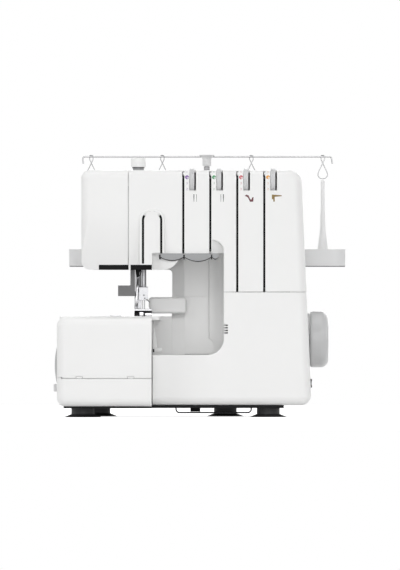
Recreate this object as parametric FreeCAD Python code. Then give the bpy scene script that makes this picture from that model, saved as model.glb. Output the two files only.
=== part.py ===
"""Four-thread overlock sewing machine, built as an assembly of separate pieces.

Millimetres. X runs to the right, Y runs to the back and Z runs up. The feet stand on Z = 0 and
the front of the machine faces -Y.
"""
import FreeCAD
import Part
import math
import os

from FreeCAD import Vector

# Levels above the table
foot_height = 10.2          # top of the suction feet, underside of the base plate
base_sheet = 3.2            # thickness of the base plate
bed_z = 113.8               # top of the needle plate
floor_z = 70.5              # floor of the throat recess
head_z = 166.5              # underside of the arm and sewing head
lip_z = 185.0               # lower edge of the arm's front face
top_z = 279.0               # top of the arm
panel_seam_z = 141.4        # seam between the upper and lower front covers
looper_seam_z = 45.0        # hinge line of the looper cover
shaft_z = 87.7              # main shaft and handwheel

# Places across the width
head_x = -134.0             # left end of the sewing head
face_seam_x = -80.9         # seam of the face cover
column_x = -31.4            # left side of the column
throat_x = 26.7             # right side of the throat recess
tower_top_x = 114.6         # right side of the tower, at the top
tower_foot_x = 126.3        # right side of the tower, at the base
looper_left_x = -161.4      # left side of the looper cover
looper_right_x = -53.5      # right side of the looper cover
bed_left_x = -159.0         # left side of the bed
needle_x = -63.7
presser_x = -69.7
antenna_x = 7.9

# Places in depth
front_y = -105.0            # front of the tower and arm
looper_y = -139.0           # front of the looper cover
looper_back_y = -58.5       # back of the looper cover's side
wall_y = -15.0              # face of the throat wall
split_y = 0.0               # seam between the front and rear covers
rear_y = 70.0               # back of the body
needle_y = -49.0
presser_y = -37.0
shaft_y = 15.0
tray_depth = 69.0           # spool tray, behind the body

# Covers
wall = 2.5                  # moulded wall
seam = 0.5                  # open line between two covers
edge_round = 9.0            # rounding of the body's front and rear edges
top_round_left = 9.2
top_round_right = 14.0
foot_round = 11.5
throat_round = 18.0         # lower right corner of the throat
throat_seam_z = 136.2       # seam across the throat wall
notch_z = 199.5             # top of the throat's upper right corner, cut into the arm's front
notch_round = 12.0
notch_margin = 1.0          # strip between that corner and the second thread slot
notch_near = 2.0            # depth of its back at the left
notch_deep = 10.0           # and at the right
arch_round = 4.0            # corner where the arm meets the column
facet_run_x = 13.9          # slanting face on the column's left edge
facet_run_y = 13.0
haunch_left_x = -33.0       # foot of the rise from the head's underside to the arm's
haunch_right_x = -17.5
haunch_round = 18.0
heel_round = 10.0           # lower left corner of the head
chin_z = 228.0              # where the head's front starts to curve back
chin_run = 12.0             # how far it has curved back at the underside
chin_fade = 10.0            # length over which that curve fades out to the right
dip_depth = 7.0             # further hollow on both sides of the take-up cover
dip_half = 16.0
front_levels = 5            # sections of the head's front, and points along each of them
front_steps = 24
skim = 0.1                  # start of the curve in front of the flat face
lip_left_x = -54.0          # left end of the arm's lower edge

base_flange = 14.0          # rim turned in under the covers
throat_edge = 1.5           # rounding of the throat's front edge
vent_z = 94.4               # lowest of the vent slots in the throat's side
vent_pitch = 2.9
vent_height = 1.4
vent_depth = 30.0
vent_count = 4

# Clearances
running = 0.05              # radial, shaft in bush
gap = 0.3                   # between pieces that pass each other

# Threading parts
slot_width = 2.4
slot_first_x = -18.7
thread_pitch = 30.5         # from one thread path to the next
long_slot_from = 2          # the first two slots end at the arm's lower edge
dial_offset = 9.9           # dial beside its slot
dial_radius = 14.0
dial_width = 5.2
dial_proud = 2.0            # how far a dial stands out of the front and the top
dial_gap = 1.8              # open line to the right of a dial
spindle_radius = 2.5
disc_radius = 6.4           # tension discs
disc_sheet = 1.0
spring_wall = 1.4
bracket_sheet = 1.5
channel_side = 1.8          # walls of the black thread channels
channel_depth = 2.5

# Take-up cover on the front of the head
ridge_left_x = -68.1
ridge_right_x = -39.8
ridge_top_z = 235.2
ridge_proud = 3.6
ridge_round = 12.5
groove_width = 2.5
groove_margin = 2.6         # white rim outside the groove
groove_left_z = 173.5       # lower ends of the groove's two legs
groove_right_z = 183.5
ridge_edge = 1.6

# Trim under the arm
under_left_x = -114.2       # black plate under the head
under_back_y = 46.0
under_depth = 5.6
post_width = 2.6            # white post of the face cover, in front of the plate
lip_ends = [(-44.4, -18.7), (-17.1, 12.7), (14.1, 21.0)]
lip_sags = [7.6, 8.6, 6.0]
lip_side = 4.0              # height of a thread lip at its ends
lip_proud = 2.2
lip_depth = 16.0

# Looper cover and the fixed skirt under it
skirt_z = 12.2
looper_top_z = 112.6
looper_round = 10.0
looper_edge = 9.0
cover_top_y = -81.0         # back of the looper cover's top
side_top_z = 101.0          # top of its side, behind that
hinge_rod_radius = 0.6
knuckle_xs = (-136.0, -78.0)
knuckle_width = 7.0
skirt_rim = 7.1             # rim turned in under the skirt
looper_gap = 0.9            # open line to the right of the cover

# Bed
bed_back_y = 64.0
bed_round = 10.0
bed_rim = 9.0               # rim turned in under the bed
cloth_sheet = 4.3
cloth_tab_x = -44.8         # end of the tab beside the looper cover
plate_left_x = -100.0       # needle plate
plate_right_x = -49.0
plate_back_y = -22.0
plate_sheet = 2.0
plate_ledge = 3.0
plate_margin = 3.0          # from the front of the cloth plate

# Base, feet and the rail under the base
base_right_x = 95.0
base_back_y = 60.0
base_step_y = -99.0         # front of the base under the tower
base_round = 6.0
foot_places = ((-132.3, -100.0), (-114.9, 40.0), (29.0, 40.0), (77.4, -75.0))
foot_radius = 12.9
cup_radius = 20.7
cup_sheet = 2.4
rail_left_x = -27.0
rail_right_x = 58.2
rail_y = -55.0
rail_z = 4.8
rail_radius = 0.8
rail_bend = 4.0
catch_left_x = -10.7
catch_width = 11.2
catch_depth = 14.0

# Sewing parts
bar_radius = 3.0            # needle bar
presser_bar_radius = 3.5
needle_travel = 25.0
presser_lift = 6.0
bar_clearance = 6.0         # above the raised presser bar
clamp_width = 10.3
clamp_depth = 9.0
clamp_low_z = 132.0
clamp_high_z = 147.4
needle_pitch = 2.2
needle_radius = 0.5
needle_tip_z = 104.5
clamp_screw_places = ((0.3, 5.8), (1.3, 2.3))
clamp_screw_radius = 1.1
clamp_screw_proud = 1.0
sole_gap = 0.3              # presser foot above the needle plate
sole_sheet = 4.0
sole_left_x = -74.0
sole_right_x = -54.4
sole_front_y = -76.0
toe_run = 10.0              # length of the turned-up toe
toe_rise = 6.0
toe_tip = 2.5
tongue_height = 7.0
tongue_width = 4.0
tongue_tip = 1.2
tongue_sheet = 1.5
tongue_offset = 9.0         # in front of the needles
ankle_width = 3.0
sole_back_y = -31.0
holder_low_z = 122.0
holder_high_z = 142.5
holder_left_x = -74.2
holder_right_x = -66.0
holder_front_y = -43.0
cutter_left_x = -92.6
cutter_right_x = -73.4
cutter_post_width = 5.2
cutter_low_z = 136.7
cutter_high_z = 148.8
cutter_y = -70.0
cutter_sheet = 2.0

# Presser lifter and pressure knob
lifter_left_x = -58.0
lifter_right_x = -15.2
lifter_low_z = 117.0
lifter_high_z = 135.5
lifter_front_y = -29.0
lifter_depth = 9.0
lifter_round = 4.0
lifter_pin_radius = 3.5
lifter_pin_inset = 8.0
knob_radius = 8.4
knob_rise = 4.0             # open neck between the arm and the knob
knob_height = 10.8
knob_neck_radius = 5.8
knob_neck_depth = 12.0      # below the top of the arm

# Stitching parts in the bed
blade_sheet = 2.5
looper_shaft_radius = 3.0
looper_plate_y = -22.0      # front of the frame's looper plate
looper_plate_sheet = 6.0
lower_looper_x = -104.0
lower_looper_z = 52.0
lower_looper_y = -56.0
upper_looper_x = -84.0
upper_looper_z = 46.0
upper_looper_y = -53.0
knife_x = -60.4             # cutting line between the two knives
knife_sheet = 1.5
knife_y = -66.0
knife_pin_y = -34.0
knife_pin_z = 70.0
knife_pin_radius = 2.5
lower_looper_form = ((-5.0, -5.0, 4.0), (5.0, -5.0, 4.0), (10.0, 38.0, 8.0), (33.0, 48.5, 0.5),
                     (31.5, 51.0, 0.5), (5.0, 44.0, 10.0))
upper_looper_form = ((-5.0, -5.0, 4.0), (5.0, -5.0, 4.0), (10.0, 38.0, 8.0), (13.5, 57.0, 0.5),
                     (11.5, 57.6, 0.5), (3.0, 42.0, 8.0))
knife_width = 10.0
lower_knife_height = 25.7
knife_post_width = 9.0
knife_post_neck = 5.0
knife_post_drop = 14.0      # top of the post below the needle plate
knife_post_shoulder = 40.0  # where it narrows
upper_knife_drop = 5.0      # cutting edge below the needle plate, at its back
knife_slant = 2.0
knife_boss = 6.0            # half height round the knife's pin
feed_width = 1.8
feed_length = 16.0
feed_offset = 5.0           # from the needles back to the first tooth
feed_depth = 18.0
feed_block = 7.0
feed_bar_half = 3.0
feed_teeth = 8
tooth_rise = 0.9
feed_pitch = 6.4
feed_travel = 2.0           # each way

# Drive
shaft_radius = 6.0
bush_wall = 3.0
bush_width = 14.0
bearing_xs = (-112.0, 92.0)
wheel_radius = 32.0
wheel_width = 21.0
wheel_round = 9.0
pulley_x = 66.0             # left face of both pulleys
pulley_width = 10.0
pulley_radius = 30.0
motor_pulley_radius = 8.0
motor_y = -48.0
motor_z = 42.0
motor_radius = 22.0
motor_length = 60.0
motor_shaft_radius = 3.0
motor_plate_x = 56.0
motor_plate_sheet = 4.0
belt_width = 7.0
belt_sheet = 2.0

# Frame
frame_sheet = 6.0
frame_y = 54.0              # front of the cast back web
frame_left_x = -128.0
frame_right_x = 104.0
frame_drop = 17.0           # top of the frame below the top of the arm
frame_foot = 4.0
arm_rise = 11.5             # lower edge of the frame's arm above the sewing head's underside
guide_rise = 9.5            # lower guide of the two bars, above the underside
guide_drop = 47.0           # upper guide, below the top of the arm
guide_sheet = 9.0
guide_margin = 7.0

# Controls on the sides
stitch_dial_radius = 20.5
stitch_dial_z = 58.3
stitch_dial_y = -20.0
stitch_dial_left_x = -164.7
stitch_rim = 1.6
stitch_pin_radius = 3.0
lever_sheet = 1.2
lever_hub_radius = 7.0
lever_z = 32.9
lever_left_x = -166.0
lever_width = 9.0
lever_height = 9.0
switch_y = -56.0
switch_z = 38.0
switch_length = 18.0        # in depth
switch_height = 10.0
switch_proud = 2.0
switch_depth = 12.0
switch_relief = 1.0         # room above and below the rocker for its swing
inlet_y = -26.0
inlet_width = 26.0
inlet_height = 18.0
inlet_depth = 18.0
inlet_wall = 2.0
contact_radius = 1.2
contact_pitch = 8.6
rocker_pin_radius = 1.2

# Spool stand
tray_left_x = -149.0
tray_right_x = 166.0
tray_low_z = 171.0
tray_high_z = 190.0
tray_wall = 2.6
tray_round = 12.0
pin_xs = (-123.9, -42.8, 58.9, 140.3)
pin_radius = 2.2
pin_foot_radius = 5.8
pin_straight = 29.0         # straight upper end of a pin
pin_waist_radius = 3.1      # where its foot starts to flare
pin_waist_drop = 27.0       # below the straight end
pin_waist_round = 80.0
pin_clearance = 1.8         # from a pin to the hanger above it
antenna_rod_radius = 2.3
antenna_wall = 1.05         # of the two tubes
antenna_step = 4.4          # each stage starts this much higher
stage_show = 8.1            # length of the middle stage that shows
stage_gap = 0.4
head_radius = 9.1
head_neck_radius = 4.9
head_height = 12.8
head_rim = 4.4              # height of the head's flared rim
head_round = 1.5
head_rise = 2.1             # top of the head above the guide bar
bar_wire = 0.9
guide_bar_z = 295.7
guide_bar_left_x = -134.0
guide_bar_right_x = 150.2
hook_drop = 8.0
hanger_wire = 0.6
hanger_drop = 24.9          # lower end of a hanger below the guide bar
hanger_half = 5.4
hanger_bends = [4.5, 8.0, 3.0, 1.5]  # from the middle of its foot up to the guide bar
bar_bend = 2.5

# Cover screws on the back
screw_places = ((-60.0, 250.0), (88.0, 250.0), (-60.0, 205.0), (88.0, 150.0), (85.0, 40.0))
tray_screw_xs = (-20.0, 80.0)
screw_radius = 1.9
screw_head_radius = 3.8
screw_head = 1.6

os.makedirs("parts", exist_ok=True)


def box(x0, x1, y0, y1, z0, z1):
    """Block between two corners."""
    return Part.makeBox(x1 - x0, y1 - y0, z1 - z0, Vector(x0, y0, z0))


def rod(start, axis, radius, length):
    """Round bar from a point along an axis."""
    return Part.makeCylinder(radius, length, Vector(*start), Vector(*axis))


def rod_x(x0, x1, y, z, radius):
    return rod((x0, y, z), (1, 0, 0), radius, x1 - x0)


def rod_y(y0, y1, x, z, radius):
    return rod((x, y0, z), (0, 1, 0), radius, y1 - y0)


def rod_z(z0, z1, x, y, radius):
    return rod((x, y, z0), (0, 0, 1), radius, z1 - z0)


def rounded_face(corners, place):
    """Flat face through corners (u, v, radius), each corner rounded by a tangent arc."""
    ends = []
    for index, (u, v, radius) in enumerate(corners):
        here = Vector(u, v, 0)
        back = Vector(corners[index - 1][0], corners[index - 1][1], 0) - here
        ahead = Vector(*corners[(index + 1) % len(corners)][:2], 0) - here
        back.normalize()
        ahead.normalize()
        if radius <= 0:
            ends.append((here, None, here))
            continue
        half = back.getAngle(ahead) / 2
        middle = back + ahead
        middle.normalize()
        reach = radius / math.tan(half)
        crown = here + middle * (radius / math.sin(half) - radius)
        ends.append((here + back * reach, crown, here + ahead * reach))
    edges = []
    for index, (start, crown, stop) in enumerate(ends):
        if crown is not None:
            edges.append(Part.Arc(place(start), place(crown), place(stop)).toShape())
        following = ends[(index + 1) % len(ends)][0]
        if stop.distanceToPoint(following) > 1e-6:
            edges.append(Part.LineSegment(place(stop), place(following)).toShape())
    return Part.Face(Part.Wire(edges))


def prism_y(corners, y0, y1):
    """Outline in X and Z, drawn from y0 to y1."""
    face = rounded_face(corners, lambda p: Vector(p.x, y0, p.y))
    return face.extrude(Vector(0, y1 - y0, 0))


def prism_x(corners, x0, x1):
    """Outline in Y and Z, drawn from x0 to x1."""
    face = rounded_face(corners, lambda p: Vector(x0, p.x, p.y))
    return face.extrude(Vector(x1 - x0, 0, 0))


def prism_z(corners, z0, z1):
    """Outline in X and Y, drawn from z0 to z1."""
    face = rounded_face(corners, lambda p: Vector(p.x, p.y, z0))
    return face.extrude(Vector(0, 0, z1 - z0))


def turned_x(profile, y, z):
    """Outline in X and radius, turned about an X axis through (y, z)."""
    face = rounded_face(profile, lambda p: Vector(p.x, y, z + p.y))
    return face.revolve(Vector(0, y, z), Vector(1, 0, 0), 360)


def turned_z(profile, x, y):
    """Outline in radius and Z, turned about a Z axis through (x, y)."""
    face = rounded_face(profile, lambda p: Vector(x + p.x, y, p.y))
    return face.revolve(Vector(x, y, 0), Vector(0, 0, 1), 360)


def rounded(shape, radius, touches):
    """Fillet of the edges whose every vertex passes the test."""
    edges = [edge for edge in shape.Edges if all(touches(vertex.Point) for vertex in edge.Vertexes)]
    return shape.makeFillet(radius, edges)


def save(name, *shapes):
    """Write one node. A group of like pieces is written as separate solids."""
    solids = [solid for shape in shapes for solid in shape.Solids]
    result = solids[0] if len(solids) == 1 else Part.makeCompound(solids)
    result.exportStep("parts/" + name + ".step")


far = 400.0                 # past the object, for cutting tools
base_top_z = foot_height + base_sheet
tray_y = rear_y + tray_depth / 2
slot_xs = [slot_first_x + thread_pitch * index for index in range(4)]
dial_xs = [x + dial_offset for x in slot_xs]
dial_y = front_y + dial_radius - dial_proud
dial_z = top_z + dial_proud - dial_radius
guide_low_z = head_z + guide_rise
guide_high_z = top_z - guide_drop


# Body covers: one moulded form, cut by the throat and the space under the head
def hull(inset):
    """Whole block of head, arm and tower with rounded front and rear edges."""
    low_z = base_top_z + inset
    high_z = top_z - inset
    left_x = head_x + inset
    corners = [
        (left_x, low_z, top_round_left - inset),
        (left_x, high_z, top_round_left - inset),
        (tower_top_x - inset, high_z, top_round_right - inset),
        (tower_foot_x - inset, low_z, foot_round - inset),
    ]
    block = prism_y(corners, front_y + inset, rear_y - inset)
    ends = (front_y + inset, rear_y - inset)
    for end in ends:
        block = rounded(block, edge_round - inset, lambda p: abs(p.y - end) < 1e-4)
    return block


def head_front(grow):
    """Space before the head: its front curves back to the chin and dips beside the take-up cover."""
    middle_x = (ridge_left_x + ridge_right_x) / 2
    left_x = head_x - wall
    right_x = slot_first_x
    sections = []
    for level in range(front_levels + 1):
        share = level / front_levels
        z = chin_z - (chin_z - head_z + wall) * share
        line = []
        for step in range(front_steps + 1):
            x = left_x + (right_x - left_x) * step / front_steps
            chin = chin_run * (1 - math.tanh((x - middle_x) / chin_fade)) / 2
            dip = dip_depth * math.exp(-((x - middle_x) / dip_half) ** 2)
            line.append(Vector(x, front_y - skim + grow + share ** 2 * (chin + dip), z))
        curve = Part.BSplineCurve()
        curve.interpolate(line)
        corners = [line[-1], Vector(right_x, front_y - far, z), Vector(left_x, front_y - far, z), line[0]]
        sides = [Part.LineSegment(start, end).toShape() for start, end in zip(corners, corners[1:])]
        sections.append(Part.Wire([curve.toShape()] + sides))
    return Part.makeLoft(sections, True, False)


def open_space(grow):
    """Throat recess, space under the head and the bay of the loopers, grown by a wall."""
    outline = [
        (looper_right_x - far, floor_z - grow, 0),
        (throat_x + grow, floor_z - grow, throat_round + grow),
        (throat_x + grow, lip_z + grow, 0),
        (haunch_right_x, lip_z + grow, haunch_round),
        (haunch_left_x, head_z + grow, haunch_round),
        (looper_right_x - far, head_z + grow, 0),
    ]
    recess = prism_y(outline, front_y - far, wall_y + grow)
    notch_left_x = slot_xs[1] + slot_width / 2 + notch_margin - grow
    notch = prism_y([
        (notch_left_x, lip_z, 0),
        (throat_x + grow, lip_z, 0),
        (throat_x + grow, notch_z + grow, notch_round + grow),
        (notch_left_x, notch_z + grow, 0),
    ], front_y - far, wall_y)
    notch = notch.common(prism_z([
        (notch_left_x, front_y + notch_near + grow, 0),
        (throat_x + grow, front_y + notch_deep + grow, 0),
        (throat_x + grow, front_y - far, 0),
        (notch_left_x, front_y - far, 0),
    ], lip_z, top_z))
    slant = math.hypot(facet_run_x, facet_run_y)
    shift_x = grow * facet_run_y / slant
    shift_y = grow * facet_run_x / slant
    facet_left_x = column_x - facet_run_x + shift_x
    facet_front_y = wall_y - facet_run_y + shift_y
    facet = prism_z([
        (facet_left_x, facet_front_y, 0),
        (column_x + 2 * facet_run_x + shift_x, facet_front_y, 0),
        (facet_left_x, wall_y + 2 * facet_run_y + shift_y, 0),
    ], floor_z - grow, top_z).common(prism_y(outline, front_y, rear_y))
    bay = box(-far, looper_right_x + grow, front_y - far, wall_y + grow, -far, head_z + grow)
    heel = box(-far, head_x + heel_round, -far, far, head_z - 1, head_z + heel_round)
    heel = heel.cut(rod_y(-far, far, head_x + heel_round, head_z + heel_round, heel_round - grow))
    under_head = prism_y([
        (-far, -far, 0),
        (column_x + grow, -far, 0),
        (column_x + grow, head_z + grow, arch_round),
        (-far, head_z + grow, 0),
    ], wall_y - 1, rear_y + far)
    return recess.fuse([notch, facet, bay, heel, head_front(grow), under_head])


half_seam = seam / 2
body_block = hull(0).cut(open_space(0))
body_shell = body_block.cut(hull(wall).cut(open_space(wall)))
body_shell = body_shell.cut(box(looper_right_x + base_flange, tower_foot_x - base_flange - foot_round,
                                front_y + base_flange, wall_y, -far, base_top_z + 2 * wall))
body_shell = body_shell.cut(box(column_x + base_flange, tower_foot_x - base_flange - foot_round,
                                wall_y - base_flange, rear_y - base_flange, -far, base_top_z + 2 * wall))

throat_box = box(column_x - 1, throat_x, wall_y, split_y, floor_z, panel_seam_z + half_seam)
wall_left_x = column_x - 1
wall_right_x = throat_x - seam
wall_back_y = split_y - half_seam
face_cover = body_shell.common(box(-far, face_seam_x - half_seam, -far, far, -far, far))
upper_front_cover = body_shell.common(
    box(face_seam_x + half_seam, far, -far, split_y - half_seam, panel_seam_z + half_seam, far))
lower_front_cover = body_shell.common(
    box(looper_right_x - 1, far, -far, split_y - half_seam, -far, panel_seam_z - half_seam))
rear_cover = body_shell.common(box(face_seam_x + half_seam, far, split_y + half_seam, far, -far, far))
throat_cover = body_shell.common(
    box(wall_left_x, wall_right_x, wall_y, wall_back_y, floor_z + seam, throat_seam_z - half_seam))
upper_wall = body_shell.common(
    box(wall_left_x, wall_right_x, wall_y, wall_back_y, throat_seam_z + half_seam, panel_seam_z + seam))
upper_front_cover = upper_front_cover.fuse(upper_wall).removeSplitter()
lower_front_cover = lower_front_cover.cut(throat_box)


def on_throat_edge(point):
    """Upright front edge of the throat, from which the rounding runs on round its corners."""
    return abs(point.y - front_y) < 1e-4 and abs(point.x - throat_x) < 1e-4


lower_front_cover = rounded(lower_front_cover, throat_edge, on_throat_edge)

# Vent slots in the throat's right side
lower_front_cover = lower_front_cover.cut([
    box(throat_x - 1, throat_x + 2 * wall, front_y - 1, front_y + vent_depth, z, z + vent_height)
    for z in [vent_z + vent_pitch * index for index in range(vent_count)]])

# Black plate under the head, notched in front for the face cover's post
under_box = box(under_left_x, lip_left_x - gap, -far, under_back_y, head_z - 1, head_z + under_depth)
hollow = chin_run + dip_depth
post_box = box(face_seam_x - half_seam, face_seam_x + post_width, -far, front_y + 2 * hollow, 0, top_z)
under_cut = under_box.cut(post_box)
head_under_plate = body_block.common(under_cut)
face_cover = face_cover.cut(under_cut)
upper_front_cover = upper_front_cover.cut(under_cut)
rear_cover = rear_cover.cut(under_cut)


# Openings of the upper front cover: thread slots, dial windows and the neck of the pressure knob
upper_front_cover = rounded(upper_front_cover, throat_edge, on_throat_edge)
dial_exit = math.sqrt(dial_radius ** 2 - (dial_radius - dial_proud - wall) ** 2) + 2 * gap
slot_lows = [lip_z if index < long_slot_from else panel_seam_z for index in range(4)]
slot_half = slot_width / 2
dial_half = dial_width / 2
upper_openings = [rod_z(top_z - 2 * wall, far, presser_x, presser_y, knob_neck_radius + gap)]
for slot_x, slot_low, dial_x in zip(slot_xs, slot_lows, dial_xs):
    upper_openings.append(box(slot_x - slot_half, slot_x + slot_half, -far, front_y + edge_round,
                              slot_low - seam, top_z - slot_half))
    upper_openings.append(box(dial_x - dial_half - gap, dial_x + dial_half + dial_gap,
                              -far, dial_y + dial_exit, dial_z - dial_exit, far))
upper_front_cover = upper_front_cover.cut(upper_openings)

# Black thread channels behind the slots
channels = []
for slot_x, slot_low in zip(slot_xs, slot_lows):
    back_y = front_y + wall
    low_z = slot_low + 2 * wall
    side = slot_half + channel_side
    channel = box(slot_x - side, slot_x + side, back_y, back_y + channel_depth, low_z, top_z - edge_round)
    groove = box(slot_x - slot_half, slot_x + slot_half, back_y, back_y + channel_depth / 2, 0, far)
    trimmed = channel.cut([groove, body_shell])
    channels.append(max(trimmed.Solids, key=lambda solid: solid.Volume))
save("thread_channels", *channels)

# Thread tension units: bracket with spindle, two discs, spring and thumb dial
brackets, stacks = [], []
bracket_reach = 5.5
for number, (slot_x, dial_x) in enumerate(zip(slot_xs, dial_xs), start=1):
    left_x = slot_x - bracket_reach
    right_x = dial_x + dial_half
    plate = box(left_x, left_x + bracket_sheet, dial_y - spindle_radius, dial_y + dial_radius,
                dial_z - disc_radius, top_z - wall)
    brackets.append(plate.fuse(rod_x(left_x, right_x, dial_y, dial_z, spindle_radius)))
    bore = rod_x(left_x, right_x + 1, dial_y, dial_z, spindle_radius + running)
    for disc_x in (slot_x - gap - disc_sheet, slot_x + gap):
        stacks.append(rod_x(disc_x, disc_x + disc_sheet, dial_y, dial_z, disc_radius).cut(bore))
    spring_left_x = slot_x + 2 * gap + disc_sheet
    spring = rod_x(spring_left_x, dial_x - dial_half - gap, dial_y, dial_z,
                   spindle_radius + gap + spring_wall)
    stacks.append(spring.cut(rod_x(left_x, right_x, dial_y, dial_z, spindle_radius + gap)))
    dial = turned_x([
        (dial_x - dial_half, spindle_radius + running, 0),
        (dial_x + dial_half, spindle_radius + running, 0),
        (dial_x + dial_half, dial_radius, gap * 2),
        (dial_x - dial_half, dial_radius, gap * 2),
    ], dial_y, dial_z)
    save("tension_dial_" + str(number), dial)
save("tension_brackets", *brackets)
save("tension_stacks", *stacks)

# Take-up cover: raised plate on the head with a black groove in the shape of an upturned U
ridge_low_z = head_z + under_depth
ridge = prism_y([
    (ridge_left_x, ridge_low_z, 0),
    (ridge_left_x, ridge_top_z, ridge_round),
    (ridge_right_x, ridge_top_z, ridge_round),
    (ridge_right_x, lip_z, 0),
    (lip_left_x, lip_z, 0),
    (lip_left_x, ridge_low_z, 0),
], front_y - ridge_proud, front_y + hollow + wall)
ridge = rounded(ridge, ridge_edge, lambda p: abs(p.y - front_y + ridge_proud) < 1e-4 and p.z > lip_z - 1e-3)


def groove_form(inset, left_low_z, right_low_z, y0):
    """Upturned U block, from which a smaller one is cut to leave the groove."""
    round_left = ridge_round - groove_margin - inset
    left_x = ridge_left_x + groove_margin + inset
    right_x = ridge_right_x - groove_margin - inset
    high_z = ridge_top_z - groove_margin - inset
    return prism_y([
        (left_x, left_low_z, 0),
        (left_x, high_z, round_left),
        (right_x, high_z, round_left),
        (right_x, right_low_z, 0),
        (lip_left_x, right_low_z, 0),
        (lip_left_x, left_low_z, 0),
    ], y0, front_y + 2 * hollow)


groove = groove_form(0, groove_left_z, groove_right_z, front_y - 2 * ridge_proud)
groove = groove.cut(groove_form(groove_width, 0, 1, front_y - 3 * ridge_proud))
take_up_cover = ridge.cut(body_block).cut(groove)
take_up_liner = groove.common(ridge).cut(body_block)
take_up_liner = take_up_liner.cut(box(-far, far, -far, front_y - ridge_proud / 3, -far, far))
save("take_up_cover", take_up_cover)
save("take_up_liner", take_up_liner)

# Grey thread lips under the front of the arm
lips = []
for (left_x, right_x), sag in zip(lip_ends, lip_sags):
    y0 = front_y - lip_proud
    corner_z = lip_z - lip_side
    points = [Vector(left_x, y0, lip_z), Vector(right_x, y0, lip_z), Vector(right_x, y0, corner_z),
              Vector((left_x + right_x) / 2, y0, lip_z - sag), Vector(left_x, y0, corner_z)]
    edges = [Part.LineSegment(points[0], points[1]).toShape(),
             Part.LineSegment(points[1], points[2]).toShape(),
             Part.Arc(points[2], points[3], points[4]).toShape(),
             Part.LineSegment(points[4], points[0]).toShape()]
    lip = Part.Face(Part.Wire(edges)).extrude(Vector(0, lip_proud + lip_depth, 0))
    lips.append(lip.cut(body_block))
save("thread_lips", *lips)


def bent_wire(points, bends, radius):
    """Round wire along straight runs joined by tangent arcs, one bend radius for each corner."""
    edges = []
    start = points[0]
    for before, here, after, bend in zip(points, points[1:], points[2:], bends):
        back = before - here
        ahead = after - here
        back.normalize()
        ahead.normalize()
        half = back.getAngle(ahead) / 2
        middle = back + ahead
        middle.normalize()
        reach = bend / math.tan(half)
        crown = here + middle * (bend / math.sin(half) - bend)
        edges.append(Part.LineSegment(start, here + back * reach).toShape())
        edges.append(Part.Arc(here + back * reach, crown, here + ahead * reach).toShape())
        start = here + ahead * reach
    edges.append(Part.LineSegment(start, points[-1]).toShape())
    section = Part.Wire(Part.makeCircle(radius, points[0], points[1] - points[0]))
    return Part.Wire(edges).makePipeShell([section], True, False)


# Base plate, feet and the wire rail for a waste tray
base_left_x = looper_left_x + skirt_rim + gap
base_front_y = looper_y + skirt_rim + gap
cover_right_x = looper_right_x - looper_gap
base_plate = prism_z([
    (base_left_x, base_front_y, base_round),
    (cover_right_x, base_front_y, base_round),
    (cover_right_x, base_step_y, 0),
    (base_right_x, base_step_y, base_round),
    (base_right_x, base_back_y, base_round),
    (base_left_x, base_back_y, base_round),
], foot_height, base_top_z)
catch = box(catch_left_x, catch_left_x + catch_width, rail_y - catch_depth / 2, rail_y + catch_depth / 2,
            rail_z + rail_radius + gap, foot_height)
save("base_plate", base_plate.fuse(catch).removeSplitter())
cup_roof = cup_sheet - gap
save("suction_feet", *[turned_z([
    (0, foot_height, 0),
    (foot_radius, foot_height, gap),
    (foot_radius, cup_sheet + 1, gap),
    (cup_radius, gap, 0),
    (cup_radius, 0, 0),
    (foot_radius, 0, 0),
    (0, cup_roof, 0),
], x, y) for x, y in foot_places])
save("tray_rail", bent_wire([
    Vector(rail_left_x, rail_y, foot_height),
    Vector(rail_left_x, rail_y, rail_z),
    Vector(rail_right_x, rail_y, rail_z),
    Vector(rail_right_x, rail_y, foot_height),
], [rail_bend, rail_bend], rail_radius))


# Looper cover and skirt: one rounded form, cut along the hinge line
def looper_hull(inset):
    """Rounded block whose right end and back are cut away later."""
    corners = [
        (looper_left_x + inset, skirt_z + inset, looper_round - inset),
        (looper_left_x + inset, looper_top_z - inset, looper_round - inset),
        (column_x - inset, looper_top_z - inset, looper_round - inset),
        (column_x - inset, skirt_z + inset, looper_round - inset),
    ]
    block = prism_y(corners, looper_y + inset, wall_y)
    return rounded(block, looper_edge - inset, lambda p: abs(p.y - looper_y - inset) < 1e-4)


looper_shell = looper_hull(0).cut(looper_hull(wall))
looper_shell = looper_shell.common(box(-far, cover_right_x, -far, looper_back_y, -far, far))
bead_radius = wall / 2
bead_y = looper_y + bead_radius
bead_left_x = looper_left_x + looper_round + gap
bead = rod_x(bead_left_x, cover_right_x, bead_y, looper_seam_z, bead_radius)
bead_wall = box(bead_left_x, cover_right_x, looper_y, looper_y + wall, looper_seam_z, looper_seam_z + wall)
looper_cover = looper_shell.common(box(-far, far, -far, far, looper_seam_z + gap, far))
looper_cover = looper_cover.cut(box(-far, far, cover_top_y, far, side_top_z, far))
looper_cover = looper_cover.fuse([bead, bead_wall]).removeSplitter()
skirt_top_z = looper_seam_z - bead_radius - gap
looper_skirt = looper_shell.common(box(-far, far, -far, far, -far, looper_seam_z))
looper_skirt = looper_skirt.cut(box(looper_left_x + 2 * wall, far, -far, bead_y + 2 * wall, skirt_top_z, far))
looper_skirt = looper_skirt.cut(box(looper_left_x + skirt_rim, far, looper_y + skirt_rim, far,
                                    -far, skirt_z + 2 * wall))
for knuckle_x in knuckle_xs:
    left_x = knuckle_x - knuckle_width / 2
    right_x = knuckle_x + knuckle_width / 2
    looper_cover = looper_cover.cut(box(left_x - gap, right_x + gap, looper_y - 1, looper_y + wall + 1,
                                        looper_seam_z - wall, looper_seam_z + bead_radius + gap))
    stem = box(left_x, right_x, looper_y, looper_y + wall, skirt_top_z - 1, looper_seam_z)
    looper_skirt = looper_skirt.fuse([rod_x(left_x, right_x, bead_y, looper_seam_z, bead_radius), stem])
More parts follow.
